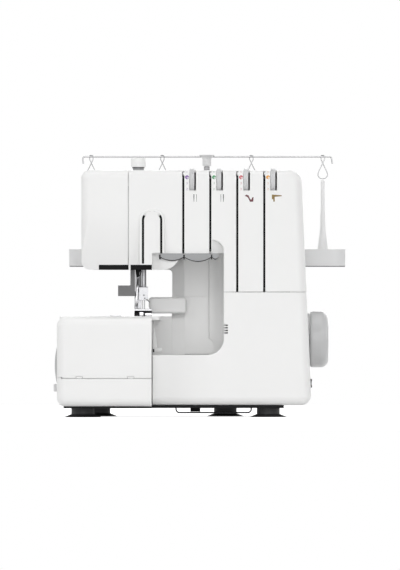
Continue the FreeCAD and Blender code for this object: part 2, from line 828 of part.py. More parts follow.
hinge_hole = rod_x(bead_left_x - 1, far, bead_y, looper_seam_z, hinge_rod_radius + running)
save("looper_cover", looper_cover.cut(hinge_hole))
save("looper_skirt", looper_skirt.cut(hinge_hole).removeSplitter())
save("looper_hinge_rod", rod_x(bead_left_x, cover_right_x - 1, bead_y, looper_seam_z, hinge_rod_radius))


# Bed: side walls, cloth plate and needle plate
def bed_outline(inset, front):
    """Plan of the bed, left of the column and open to the looper cover."""
    left_x = bed_left_x + inset
    jog_x = looper_right_x - inset
    jog_y = wall_y + gap + inset
    right_x = column_x - gap - inset
    back_y = bed_back_y - inset
    return [(left_x, front, 0), (jog_x, front, 0), (jog_x, jog_y, 0), (right_x, jog_y, 0),
            (right_x, back_y, 0), (left_x, back_y, bed_round - inset)]


bed_front_y = looper_back_y + gap
cloth_low_z = bed_z - cloth_sheet
bed_cover = prism_z(bed_outline(0, bed_front_y), base_top_z, cloth_low_z)
bed_cover = bed_cover.cut(prism_z(bed_outline(wall, bed_front_y - 1), base_top_z + wall, far))
bed_cover = bed_cover.cut(prism_z(bed_outline(bed_rim, bed_front_y - 1), -far, far))
passage = box(looper_right_x - wall - 1, column_x + base_flange + 1, split_y + 2 * wall, bed_back_y - wall,
              0, cloth_low_z - wall)
bed_cover = bed_cover.cut(passage)
bed_cover = bed_cover.cut(rod_x(-far, bed_left_x + bed_rim, stitch_dial_y, stitch_dial_z,
                                stitch_pin_radius + running))
save("bed_cover", bed_cover)

cloth_left_x = looper_left_x + wall + gap
cloth_front_y = cover_top_y + gap
cloth_step_y = wall_y - 2 * gap
cloth_plate = prism_z([
    (cloth_left_x, cloth_front_y, wall),
    (cloth_tab_x, cloth_front_y, wall),
    (cloth_tab_x, cloth_step_y, 0),
    (column_x - gap, cloth_step_y, 0),
    (column_x - gap, bed_back_y, 0),
    (cloth_left_x, bed_back_y, bed_round),
], cloth_low_z, bed_z)
plate_front_y = cloth_front_y + plate_margin
plate_low_z = bed_z - plate_sheet
cloth_plate = cloth_plate.cut(box(plate_left_x - gap, plate_right_x + gap, plate_front_y - gap,
                                  plate_back_y + gap, plate_low_z, far))
cloth_plate = cloth_plate.cut(box(plate_left_x + plate_ledge, plate_right_x - plate_ledge,
                                  plate_front_y + plate_ledge, plate_back_y - plate_ledge, 0, far))
save("cloth_plate", cloth_plate)

feed_xs = (needle_x - feed_pitch, needle_x)
feed_front_y = needle_y + feed_offset
feed_back_y = feed_front_y + feed_length
needle_plate = box(plate_left_x, plate_right_x, plate_front_y, plate_back_y, plate_low_z, bed_z)
needle_half = needle_pitch / 2 + 3 * needle_radius
plate_holes = [box(needle_x - needle_half, needle_x + needle_half, needle_y - 3 * needle_radius,
                   needle_y + 3 * needle_radius, 0, far)]
for feed_x in feed_xs:
    plate_holes.append(box(feed_x - feed_width / 2 - gap, feed_x + feed_width / 2 + gap,
                           feed_front_y - feed_travel - gap, feed_back_y + feed_travel + gap, 0, far))
knife_front_y = knife_y - knife_width / 2
knife_back_y = knife_y + knife_width / 2
plate_holes.append(box(knife_x - knife_sheet - gap, knife_x + knife_sheet + 2 * gap,
                       knife_front_y - gap, needle_y - 3 * wall / 2, 0, far))
save("needle_plate", needle_plate.cut(plate_holes))

# Needle bar, clamp and needles, at the bottom of their stroke
bar_high_z = top_z - wall - needle_travel - 2
needle_bar = rod_z(clamp_low_z + wall, bar_high_z, needle_x, needle_y, bar_radius)
clamp_half = clamp_width / 2
needle_clamp = rounded(box(needle_x - clamp_half, needle_x + clamp_half, needle_y - clamp_depth / 2,
                           needle_y + clamp_depth / 2, clamp_low_z, clamp_high_z),
                       1, lambda p: p.z > clamp_high_z - 1e-4)
needle_clamp = needle_clamp.cut(rod_z(clamp_low_z + wall, far, needle_x, needle_y, bar_radius + running))
needles = []
for offset in (-needle_pitch / 2, needle_pitch / 2):
    x = needle_x + offset
    needle = rod_z(needle_tip_z + 2, clamp_low_z, x, needle_y, needle_radius)
    tip = Part.makeCone(needle_radius / 5, needle_radius, 2, Vector(x, needle_y, needle_tip_z))
    needles.append(needle.fuse(tip).removeSplitter())
clamp_front_y = needle_y - clamp_depth / 2
clamp_screws = [rod_y(clamp_front_y - clamp_screw_proud, clamp_front_y, needle_x + across, clamp_low_z + up,
                      clamp_screw_radius) for across, up in clamp_screw_places]
save("needle_bar", needle_bar)
save("needle_clamp", needle_clamp.fuse(clamp_screws).removeSplitter())
save("needles", *needles)

# Presser bar with its collar and spring, foot holder and foot
collar_low_z = guide_low_z + guide_sheet + 12
collar_sheet = 6.0
bar_top_z = top_z - knob_neck_depth - presser_lift - bar_clearance
presser_bar = rod_z(holder_low_z, bar_top_z, presser_x, presser_y, presser_bar_radius)
collar = rod_z(collar_low_z, collar_low_z + collar_sheet, presser_x, presser_y, presser_bar_radius + wall)
save("presser_bar", presser_bar.fuse(collar).removeSplitter())
spring = rod_z(collar_low_z + collar_sheet, guide_high_z, presser_x, presser_y,
               presser_bar_radius + gap + spring_wall)
save("presser_spring", spring.cut(rod_z(0, far, presser_x, presser_y, presser_bar_radius + gap)))
holder_back_y = presser_y + presser_bar_radius + wall
foot_holder = rounded(box(holder_left_x, holder_right_x, holder_front_y, holder_back_y,
                          holder_low_z, holder_high_z), 1.5, lambda p: p.z > holder_high_z - 1e-4)
bar_bore = rod_z(0, far, presser_x, presser_y, presser_bar_radius + running)
save("foot_holder", foot_holder.cut(bar_bore))
sole_z = bed_z + sole_gap
sole_top_z = sole_z + sole_sheet
sole = prism_x([
    (sole_back_y, sole_z, 1),
    (sole_front_y + toe_run, sole_z, toe_run),
    (sole_front_y, sole_z + toe_rise, toe_tip / 3),
    (sole_front_y, sole_z + toe_rise + toe_tip, toe_tip / 3),
    (sole_front_y + toe_run + 2, sole_top_z, toe_run),
    (sole_back_y, sole_top_z, 1),
], sole_left_x, sole_right_x)
sole = sole.cut(box(needle_x - needle_half, needle_x + needle_half, needle_y - 3 * needle_radius,
                    needle_y + 3 * needle_radius, 0, far))
ankle = box(presser_x - ankle_width / 2, presser_x + ankle_width / 2, holder_front_y + 1, holder_back_y - 1,
            sole_top_z - 1, holder_low_z)
tongue = prism_y([
    (sole_right_x - tongue_width, sole_top_z - 1, 0),
    (sole_right_x, sole_top_z - 1, 0),
    (sole_right_x - tongue_width + tongue_tip / 2, sole_top_z + tongue_height - 1, tongue_tip / 3),
    (sole_right_x - tongue_width - tongue_tip / 2, sole_top_z + tongue_height - 1, tongue_tip / 3),
], needle_y - tongue_offset, needle_y - tongue_offset + tongue_sheet)
save("presser_foot", sole.fuse([ankle, tongue]).removeSplitter())

# Presser lifter with its pin through the throat wall, and the pressure knob on top of the arm
lifter_pin_x = lifter_right_x - lifter_pin_inset
lifter_pin_z = (lifter_low_z + lifter_high_z) / 2
lifter_back_y = lifter_front_y + lifter_depth
lifter = prism_y([
    (lifter_left_x, lifter_low_z, lifter_round),
    (lifter_left_x, lifter_high_z, lifter_round),
    (lifter_right_x, lifter_high_z, lifter_round),
    (lifter_right_x, lifter_low_z, lifter_round),
], lifter_front_y, lifter_back_y)
lifter = rounded(lifter, lifter_round - 1, lambda p: abs(p.y - lifter_front_y) < 1e-4)
pin = rod_y(lifter_back_y - 1, wall_back_y, lifter_pin_x, lifter_pin_z, lifter_pin_radius)
save("presser_lifter", lifter.fuse(pin).removeSplitter())
throat_cover = throat_cover.cut(rod_y(wall_y - 1, split_y, lifter_pin_x, lifter_pin_z,
                                      lifter_pin_radius + running))
knob_low_z = top_z + knob_rise
knob_high_z = knob_low_z + knob_height
save("pressure_knob", turned_z([
    (0, top_z - knob_neck_depth, 0),
    (knob_neck_radius, top_z - knob_neck_depth, 0),
    (knob_neck_radius, knob_low_z, 0),
    (knob_radius, knob_low_z, 1),
    (knob_radius, knob_high_z, 2.5),
    (0, knob_high_z, 0),
], presser_x, presser_y))

# Dark thread-chain cutter hanging from the plate under the head
cutter = prism_y([
    (cutter_left_x, cutter_low_z, 0),
    (cutter_left_x, cutter_high_z, 0),
    (cutter_right_x - cutter_post_width, cutter_high_z, 1),
    (cutter_right_x - cutter_post_width, head_z, 0),
    (cutter_right_x, head_z, 0),
    (cutter_right_x, cutter_low_z, 0),
], cutter_y, cutter_y + cutter_sheet)
save("chain_cutter", cutter)
head_under_plate = head_under_plate.cut([
    box(needle_x - clamp_half - 1, needle_x + clamp_half + 1, needle_y - clamp_depth / 2 - 2,
        needle_y + clamp_depth / 2 + 1, 0, far),
    rod_z(0, far, presser_x, presser_y, presser_bar_radius + 2 * gap)])

# Loopers, knives and feed dogs in the bed
plate_back = looper_plate_y + looper_plate_sheet


def looper(x, y, z, form):
    """Flat blade on a shaft that runs back into the frame's looper plate."""
    blade = prism_y([(x + dx, z + dz, radius) for dx, dz, radius in form], y, y + blade_sheet)
    shaft = rod_y(y, plate_back, x, z, looper_shaft_radius)
    return blade.fuse(shaft).removeSplitter()


save("lower_looper", looper(lower_looper_x, lower_looper_y, lower_looper_z, lower_looper_form))
save("upper_looper", looper(upper_looper_x, upper_looper_y, upper_looper_z, upper_looper_form))
knife_top_z = bed_z - gap
lower_knife = box(knife_x - knife_sheet, knife_x, knife_front_y, knife_back_y,
                  knife_top_z - lower_knife_height, knife_top_z)
save("lower_knife", lower_knife)
holder_x = knife_x - knife_sheet
post_z = bed_z - knife_post_drop
knife_post = prism_y([
    (holder_x - knife_post_width, base_top_z, 0),
    (holder_x, base_top_z, 0),
    (holder_x, post_z, 1),
    (holder_x - knife_post_neck, post_z, 1),
    (holder_x - knife_post_width, bed_z - knife_post_shoulder, 3),
], knife_front_y, knife_back_y)
edge_z = bed_z - upper_knife_drop
upper_knife = prism_x([
    (knife_pin_y + knife_boss, knife_pin_z - knife_boss, knife_boss - 1),
    (knife_pin_y + knife_boss, knife_pin_z + knife_boss, knife_boss - 1),
    (knife_back_y + knife_sheet, post_z, 3),
    (knife_back_y, edge_z, 0),
    (knife_front_y + 1, edge_z - knife_slant, 0),
    (knife_front_y + 1, edge_z - lower_knife_height * 0.7, 4),
    (knife_pin_y - knife_boss, knife_pin_z - knife_boss, knife_boss - 1),
], knife_x + gap / 2, knife_x + gap / 2 + knife_sheet)
knife_lug_depth = 8.0
knife_lug_x = knife_x - knife_sheet
knife_pin = rod_x(knife_lug_x - knife_lug_depth, knife_x + knife_sheet, knife_pin_y, knife_pin_z,
                  knife_pin_radius)
save("upper_knife", upper_knife.fuse(knife_pin).removeSplitter())

feed_low_z = bed_z - feed_depth
feed_block_z = feed_low_z + feed_block
feed_root_z = feed_block_z - 1
tooth_low_z = bed_z - gap - tooth_rise
tooth = feed_length / feed_teeth
tooth_line = [(feed_front_y, feed_root_z, 0)]
for index in range(feed_teeth):
    tooth_line.append((feed_front_y + tooth * index, tooth_low_z, 0))
    tooth_line.append((feed_front_y + tooth * (index + 0.85), bed_z - gap, 0))
tooth_line.append((feed_back_y, tooth_low_z, 0))
tooth_line.append((feed_back_y, feed_root_z, 0))
feed_rows = [prism_x(tooth_line, x - feed_width / 2, x + feed_width / 2) for x in feed_xs]
feed_mid_x = sum(feed_xs) / 2
feed_carrier = box(feed_xs[0] - feed_bar_half, feed_xs[1] + feed_bar_half, feed_front_y - feed_travel,
                 feed_back_y + feed_travel, feed_low_z, feed_block_z)
feed_bar = box(feed_mid_x - feed_bar_half, feed_mid_x + feed_bar_half, feed_back_y,
               plate_back + 2 * base_flange, feed_low_z, feed_block_z)
save("feed_dogs", feed_carrier.fuse(feed_rows + [feed_bar]).removeSplitter())


# Drive: main shaft with handwheel and pulley, motor and belt
def side_x(z):
    """Right side of the tower at a height."""
    return tower_foot_x - (z - base_top_z) * (tower_foot_x - tower_top_x) / (top_z - base_top_z)


wheel_left_x = side_x(shaft_z - wheel_radius) + 2 * gap
wheel_right_x = wheel_left_x + wheel_width
shaft_socket = 12.0
shaft_left_x = bearing_xs[0] - bush_width
save("main_shaft", rod_x(shaft_left_x, wheel_left_x + shaft_socket - gap, shaft_y, shaft_z, shaft_radius))
shaft_bore = rod_x(-far, wheel_left_x + shaft_socket, shaft_y, shaft_z, shaft_radius + running)
dish = 4.0
handwheel = turned_x([
    (wheel_left_x, 0, 0),
    (wheel_right_x - dish, 0, 0),
    (wheel_right_x - dish, wheel_radius * 0.5, dish - 1),
    (wheel_right_x, wheel_radius * 0.5 + dish, 2),
    (wheel_right_x, wheel_radius, wheel_round),
    (wheel_left_x, wheel_radius, 3),
], shaft_y, shaft_z)
save("handwheel", handwheel.cut(shaft_bore))


def pulley(radius, y, z):
    """Pulley with a flat-bottomed groove for the belt."""
    rim = (pulley_width - belt_width) / 2 - gap
    right_x = pulley_x + pulley_width
    return turned_x([
        (pulley_x, 0, 0), (right_x, 0, 0), (right_x, radius, 0), (right_x - rim, radius, 0),
        (right_x - rim, radius - belt_sheet, 0), (pulley_x + rim, radius - belt_sheet, 0),
        (pulley_x + rim, radius, 0), (pulley_x, radius, 0)], y, z)


save("drive_pulley", pulley(pulley_radius, shaft_y, shaft_z).cut(shaft_bore))
motor_left_x = motor_plate_x - motor_length
motor_nose = motor_shaft_radius + 2 * wall
motor_shaft_depth = 10.0
motor = rounded(rod_x(motor_left_x, motor_plate_x, motor_y, motor_z, motor_radius), 2,
                lambda p: p.x < motor_left_x + 1e-4)
motor = motor.fuse(rod_x(motor_plate_x, motor_plate_x + motor_plate_sheet, motor_y, motor_z, motor_nose))
motor_bore_x = motor_plate_x - motor_shaft_depth
motor = motor.cut(rod_x(motor_bore_x, far, motor_y, motor_z, motor_shaft_radius + running))
save("motor", motor.removeSplitter())
motor_shaft = rod_x(motor_bore_x + gap, pulley_x + 1, motor_y, motor_z, motor_shaft_radius)
save("motor_pulley", pulley(motor_pulley_radius, motor_y, motor_z).fuse(motor_shaft).removeSplitter())


def belt_face(offset):
    """Closed band round both pulleys, at a distance outside their grooves."""
    big = pulley_radius - belt_sheet + offset
    small = motor_pulley_radius - belt_sheet + offset
    span = math.hypot(motor_y - shaft_y, motor_z - shaft_z)
    lean = math.atan2(motor_z - shaft_z, motor_y - shaft_y)
    wrap = math.acos((big - small) / span)

    def at(y, z, radius, angle):
        return Vector(pulley_x + (pulley_width - belt_width) / 2, y + radius * math.cos(angle),
                      z + radius * math.sin(angle))

    upper_big = at(shaft_y, shaft_z, big, lean - wrap)
    lower_big = at(shaft_y, shaft_z, big, lean + wrap)
    upper_small = at(motor_y, motor_z, small, lean - wrap)
    lower_small = at(motor_y, motor_z, small, lean + wrap)
    edges = [
        Part.Arc(upper_big, at(shaft_y, shaft_z, big, lean + math.pi), lower_big).toShape(),
        Part.LineSegment(lower_big, lower_small).toShape(),
        Part.Arc(lower_small, at(motor_y, motor_z, small, lean), upper_small).toShape(),
        Part.LineSegment(upper_small, upper_big).toShape(),
    ]
    return Part.Face(Part.Wire(edges))


belt_ring = belt_face(gap + belt_sheet).cut(belt_face(gap))
save("drive_belt", belt_ring.extrude(Vector(belt_width, 0, 0)))

# Cast frame: back web, feet, bearing arms, bar guides, looper plate and motor plate
foot_top_z = base_top_z + frame_foot
web_low_z = base_top_z + 2 * frame_foot
frame_back_y = frame_y + frame_sheet
bed_web_z = cloth_low_z - 2 * wall
frame_high_z = top_z - frame_drop
arm_low_z = head_z + arm_rise
web = prism_y([
    (frame_left_x, web_low_z, 4),
    (frame_right_x - wall, web_low_z, 4),
    (frame_right_x, frame_high_z, 8),
    (frame_left_x, frame_high_z, 8),
    (frame_left_x, arm_low_z, 4),
    (column_x + 4 * wall, arm_low_z, 10),
    (column_x + 4 * wall, bed_web_z, 10),
    (frame_left_x, bed_web_z, 4),
], frame_y, frame_back_y)
inner_back_y = rear_y - base_flange - gap
bed_right_x = looper_right_x - bed_rim - gap
pieces = [
    web,
    knife_post,
    box(frame_left_x, bed_right_x, knife_front_y - 1, inner_back_y - wall, base_top_z, foot_top_z),
    box(bed_right_x - 1, knife_x, knife_front_y - 1, bed_front_y - gap, base_top_z, foot_top_z),
    box(bed_right_x - 1, column_x + base_flange + wall, split_y + 3 * wall, inner_back_y - wall,
        base_top_z, foot_top_z),
    box(column_x + base_flange + wall, base_right_x - base_round, motor_y - motor_radius - wall,
        inner_back_y, base_top_z, foot_top_z),
    box(motor_plate_x, motor_plate_x + motor_plate_sheet, motor_y - motor_radius, motor_y + motor_radius,
        base_top_z, motor_z + motor_radius),
    box(column_x + base_flange + wall, frame_right_x - 2 * base_flange, frame_y, inner_back_y,
        base_top_z, web_low_z + 1),
    box(frame_left_x, bed_right_x, inner_back_y - wall - frame_sheet, inner_back_y, foot_top_z - 1,
        web_low_z + frame_sheet),
]
boss_radius = shaft_radius + bush_wall + frame_sheet
for bearing_x in bearing_xs:
    x0 = bearing_x - frame_sheet
    x1 = bearing_x + frame_sheet
    pieces.append(prism_x([
        (shaft_y - boss_radius, shaft_z - boss_radius, boss_radius - 1),
        (frame_back_y, shaft_z - boss_radius, 0),
        (frame_back_y, shaft_z + boss_radius, 0),
        (shaft_y - boss_radius, shaft_z + boss_radius, boss_radius - 1),
    ], x0, x1))
guide_left_x = presser_x - presser_bar_radius - guide_margin
guide_right_x = needle_x + bar_radius + guide_margin
for guide_z in (guide_low_z, guide_high_z):
    pieces.append(prism_z([
        (guide_left_x, needle_y - bar_radius - guide_margin, 5),
        (guide_right_x, needle_y - bar_radius - guide_margin, 5),
        (guide_right_x, frame_back_y, 0),
        (guide_left_x, frame_back_y, 0),
    ], guide_z, guide_z + guide_sheet))
looper_left_end = lower_looper_x - 3 * frame_sheet
plate_right_end = feed_mid_x + feed_bar_half + frame_sheet
plate_high_z = knife_pin_z + 2 * frame_sheet
pieces.append(box(looper_left_end, bed_right_x, looper_plate_y, plate_back, base_top_z, plate_high_z))
pieces.append(box(feed_mid_x - feed_bar_half - frame_sheet, plate_right_end, looper_plate_y, plate_back,
                  plate_high_z - 1, feed_block_z + frame_foot))
pieces.append(box(knife_lug_x - knife_lug_depth, knife_lug_x, knife_pin_y - frame_sheet, looper_plate_y + 1,
                  knife_pin_z - 8, knife_pin_z + 8))
machine_frame = pieces[0].fuse(pieces[1:]).removeSplitter()
frame_bores = [
    rod_x(-far, far, shaft_y, shaft_z, shaft_radius + bush_wall),
    rod_z(head_z, far, needle_x, needle_y, bar_radius + running),
    rod_z(head_z, far, presser_x, presser_y, presser_bar_radius + running),
    rod_y(bed_front_y, split_y, lower_looper_x, lower_looper_z, looper_shaft_radius + running),
    rod_y(bed_front_y, split_y, upper_looper_x, upper_looper_z, looper_shaft_radius + running),
    rod_x(knife_lug_x - knife_lug_depth - 1, knife_x, knife_pin_y, knife_pin_z, knife_pin_radius + running),
    box(feed_mid_x - feed_bar_half - gap, feed_mid_x + feed_bar_half + gap, looper_plate_y - 1,
        plate_back + 1, feed_low_z - gap, feed_block_z + gap),
    rod_x(motor_plate_x - 1, motor_plate_x + motor_plate_sheet + 1, motor_y, motor_z, motor_nose + running),
]
machine_frame = machine_frame.cut(frame_bores)
save("machine_frame", machine_frame)
save("shaft_bushes", *[
    rod_x(x - bush_width / 2, x + bush_width / 2, shaft_y, shaft_z, shaft_radius + bush_wall).cut(
        rod_x(-far, far, shaft_y, shaft_z, shaft_radius + running)) for x in bearing_xs])

# Stitch length dial and differential lever on the left side
dial_back_x = bed_left_x - lever_sheet - 2 * gap
bulge = dial_back_x - stitch_rim - stitch_dial_left_x
sphere_radius = (stitch_dial_radius ** 2 + bulge ** 2) / (2 * bulge)
stitch_dial = Part.makeSphere(sphere_radius, Vector(stitch_dial_left_x + sphere_radius, stitch_dial_y,
                                                    stitch_dial_z))
stitch_dial = stitch_dial.common(rod_x(stitch_dial_left_x - 1, dial_back_x, stitch_dial_y, stitch_dial_z,
                                       stitch_dial_radius))
stitch_pin = rod_x(dial_back_x - stitch_rim / 2, bed_left_x + bed_rim, stitch_dial_y, stitch_dial_z,
                   stitch_pin_radius)
save("stitch_length_dial", stitch_dial.fuse(stitch_pin).removeSplitter())
lever_back_x = bed_left_x - gap
arm = prism_x([
    (stitch_dial_y - lever_width / 2, stitch_dial_z, 0),
    (stitch_dial_y - lever_width / 2, lever_z - lever_height / 2, 1),
    (stitch_dial_y + lever_width / 2, lever_z - lever_height / 2, 1),
    (stitch_dial_y + lever_width / 2, stitch_dial_z, 0),
], lever_back_x - lever_sheet, lever_back_x)
grip = rounded(box(lever_left_x, lever_back_x, stitch_dial_y - lever_width / 2,
                   stitch_dial_y + lever_width / 2, lever_z - lever_height / 2, lever_z + lever_height / 2),
               1.5, lambda p: p.x < lever_left_x + 1e-4)
hub = rod_x(lever_back_x - lever_sheet, lever_back_x, stitch_dial_y, stitch_dial_z, lever_hub_radius)
lever = hub.fuse([arm, grip]).removeSplitter()
lever_bore = rod_x(-far, far, stitch_dial_y, stitch_dial_z, stitch_pin_radius + running)
save("differential_lever", lever.cut(lever_bore))

# Power switch and inlet on the right side
switch_x = side_x(switch_z)
rocker_back_x = switch_x - switch_depth / 2
rocker_half = switch_height / 2
length_half = switch_length / 2
rocker_low_z = switch_z - rocker_half
rocker_high_z = switch_z + rocker_half
rocker = prism_y([
    (rocker_back_x, rocker_low_z, 0),
    (rocker_back_x, rocker_high_z, 0),
    (switch_x + switch_proud, rocker_high_z, 1),
    (switch_x + switch_proud / 2, switch_z, 12),
    (switch_x + switch_proud, rocker_low_z, 1),
], switch_y - length_half, switch_y + length_half)
rocker_pin_x = rocker_back_x + 2
rocker_pin = rod_y(switch_y - length_half - wall, switch_y + length_half + wall, rocker_pin_x, switch_z,
                   rocker_pin_radius)
save("power_switch", rocker.fuse(rocker_pin).removeSplitter())
rocker_room = box(rocker_back_x - switch_relief, far, switch_y - length_half - gap,
                  switch_y + length_half + gap, rocker_low_z - switch_relief, rocker_high_z + switch_relief)
inlet_low_z = switch_z - inlet_height / 2
inlet_high_z = switch_z + inlet_height / 2
inlet_front_y = inlet_y - inlet_width / 2
inlet_back_y = inlet_y + inlet_width / 2
inlet_right_x = side_x(inlet_high_z)
socket_x = inlet_right_x - inlet_depth
socket = box(socket_x, inlet_right_x - wall - gap, switch_y - length_half - 2 * wall, inlet_back_y + wall,
             inlet_low_z - wall, inlet_high_z + wall)
socket = socket.fuse(box(socket_x, inlet_right_x, inlet_front_y, inlet_back_y, inlet_low_z, inlet_high_z))
socket = socket.cut([
    rocker_room,
    rod_y(switch_y - switch_length, switch_y + switch_length, rocker_pin_x, switch_z,
          rocker_pin_radius + running),
    box(socket_x + inlet_wall, far, inlet_front_y + inlet_wall, inlet_back_y - inlet_wall,
        inlet_low_z + inlet_wall, inlet_high_z - inlet_wall)])
contacts = [rod_x(socket_x + inlet_wall / 2, inlet_right_x - wall, inlet_y + side * contact_pitch / 2,
                  switch_z, contact_radius) for side in (-1, 1)]
save("power_socket", socket.fuse(contacts).removeSplitter())
lower_front_cover = lower_front_cover.cut([
    rocker_room,
    box(socket_x, far, inlet_front_y - gap, inlet_back_y + gap, inlet_low_z - gap, inlet_high_z + gap)])

# Spool stand: tray, pins, telescopic antenna, guide bar and wire hangers
tray_back_y = rear_y + tray_depth
tray_floor_z = tray_low_z + tray_wall
head_top_z = guide_bar_z + head_rise
head_low_z = head_top_z - head_height
antenna_middle_top_z = head_low_z - stage_gap
antenna_fixed_top_z = antenna_middle_top_z - stage_show
hanger_low_z = guide_bar_z - hanger_drop
pin_top_z = hanger_low_z - pin_clearance


def tray_block(inset, low_z, high_z):
    """Rounded plan of the tray."""
    rounding = tray_round - inset
    return prism_z([
        (tray_left_x + inset, rear_y + inset, rounding), (tray_right_x - inset, rear_y + inset, rounding),
        (tray_right_x - inset, tray_back_y - inset, rounding),
        (tray_left_x + inset, tray_back_y - inset, rounding)], low_z, high_z)


tray = tray_block(0, tray_low_z, tray_high_z).cut(tray_block(tray_wall, tray_floor_z, far))
pin_seat_z = tray_high_z + 1
save("spool_pins", *[turned_z([
    (0, tray_floor_z, 0),
    (pin_foot_radius + 2, tray_floor_z, 0),
    (pin_foot_radius, pin_seat_z, 0),
    (pin_waist_radius, pin_top_z - pin_straight - pin_waist_drop, pin_waist_round),
    (pin_radius, pin_top_z - pin_straight, 0),
    (pin_radius, pin_top_z, 1),
    (0, pin_top_z, 0),
], x, tray_y) for x in pin_xs])
middle_bore = antenna_rod_radius + running
middle_radius = middle_bore + antenna_wall
fixed_bore = middle_radius + running
fixed_radius = fixed_bore + antenna_wall
fixed_tube = rod_z(tray_floor_z, antenna_fixed_top_z, antenna_x, tray_y, fixed_radius)
save("antenna_tube", fixed_tube.cut(rod_z(tray_floor_z + 1, far, antenna_x, tray_y, fixed_bore)))
middle_low_z = tray_floor_z + antenna_step
middle_tube = rod_z(middle_low_z, antenna_middle_top_z, antenna_x, tray_y, middle_radius)
save("antenna_middle", middle_tube.cut(rod_z(middle_low_z + 1, far, antenna_x, tray_y, middle_bore)))
antenna_top = turned_z([
    (0, middle_low_z + antenna_step, 0),
    (antenna_rod_radius, middle_low_z + antenna_step, 0),
    (antenna_rod_radius, head_low_z, 0),
    (head_neck_radius, head_low_z, 1),
    (head_neck_radius, head_top_z - head_rim, head_round),
    (head_radius, head_top_z, 0),
    (0, head_top_z, 0),
], antenna_x, tray_y)
save("antenna_top", antenna_top.cut(rod_x(-far, far, tray_y, guide_bar_z, bar_wire + running)))
save("thread_guide_bar", bent_wire([
    Vector(guide_bar_left_x + 1, tray_y, guide_bar_z - hook_drop),
    Vector(guide_bar_left_x, tray_y, guide_bar_z),
    Vector(guide_bar_right_x, tray_y, guide_bar_z),
    Vector(guide_bar_right_x + 1, tray_y, guide_bar_z - hook_drop),
], [bar_bend, bar_bend], bar_wire))
strand = bar_wire + hanger_wire + 0.1
loop_half = 2.0
wide_z = hanger_low_z + 6.5
save("thread_hangers", *[bent_wire([
    Vector(x - hanger_wire * 2, tray_y + strand, hanger_low_z),
    Vector(x + hanger_half, tray_y + strand, hanger_low_z),
    Vector(x + hanger_half, tray_y + strand, wide_z),
    Vector(x - loop_half, tray_y + strand, guide_bar_z - 3),
    Vector(x - loop_half, tray_y + strand, guide_bar_z + strand),
    Vector(x + loop_half, tray_y - strand, guide_bar_z + strand),
    Vector(x + loop_half, tray_y - strand, guide_bar_z - 3),
    Vector(x - hanger_half, tray_y - strand, wide_z),
    Vector(x - hanger_half, tray_y - strand, hanger_low_z),
    Vector(x + hanger_wire * 2, tray_y - strand, hanger_low_z),
], hanger_bends + hanger_bends[::-1], hanger_wire) for x in pin_xs])

# Rear cover: openings for the frame and shaft, and the screws of the cover and the tray
rear_cover = rear_cover.cut([passage, rod_x(column_x, far, shaft_y, shaft_z, shaft_radius + 1)])
tray_seat_y = rear_y + tray_wall
tray_screw_z = (tray_low_z + tray_high_z) / 2
seats = [(x, rear_y, z) for x, z in screw_places] + [(x, tray_seat_y, tray_screw_z) for x in tray_screw_xs]
screws = []
for x, seat_y, z in seats:
    hole = rod_y(frame_back_y, tray_seat_y + 1, x, z, screw_radius + gap)
    rear_cover = rear_cover.cut(hole)
    tray = tray.cut(hole)
    head = rounded(rod_y(seat_y, seat_y + screw_head, x, z, screw_head_radius), screw_head / 2,
                   lambda p: p.y > seat_y + screw_head - 1e-4)
    screws.append(head.fuse(rod_y(frame_back_y, seat_y, x, z, screw_radius)).removeSplitter())
save("cover_screws", *screws)
save("spool_tray", tray)

# The covers, with all their openings
save("face_cover", face_cover)
save("upper_front_cover", upper_front_cover)
save("lower_front_cover", lower_front_cover)
save("throat_cover", throat_cover)
save("rear_cover", rear_cover)
save("head_under_plate", head_under_plate)
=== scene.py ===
"""Looks of a four-thread overlock sewing machine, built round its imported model.

Metres, in the model's own frame: X to the right, Y to the back, Z up, feet on Z = 0.
"""
import math

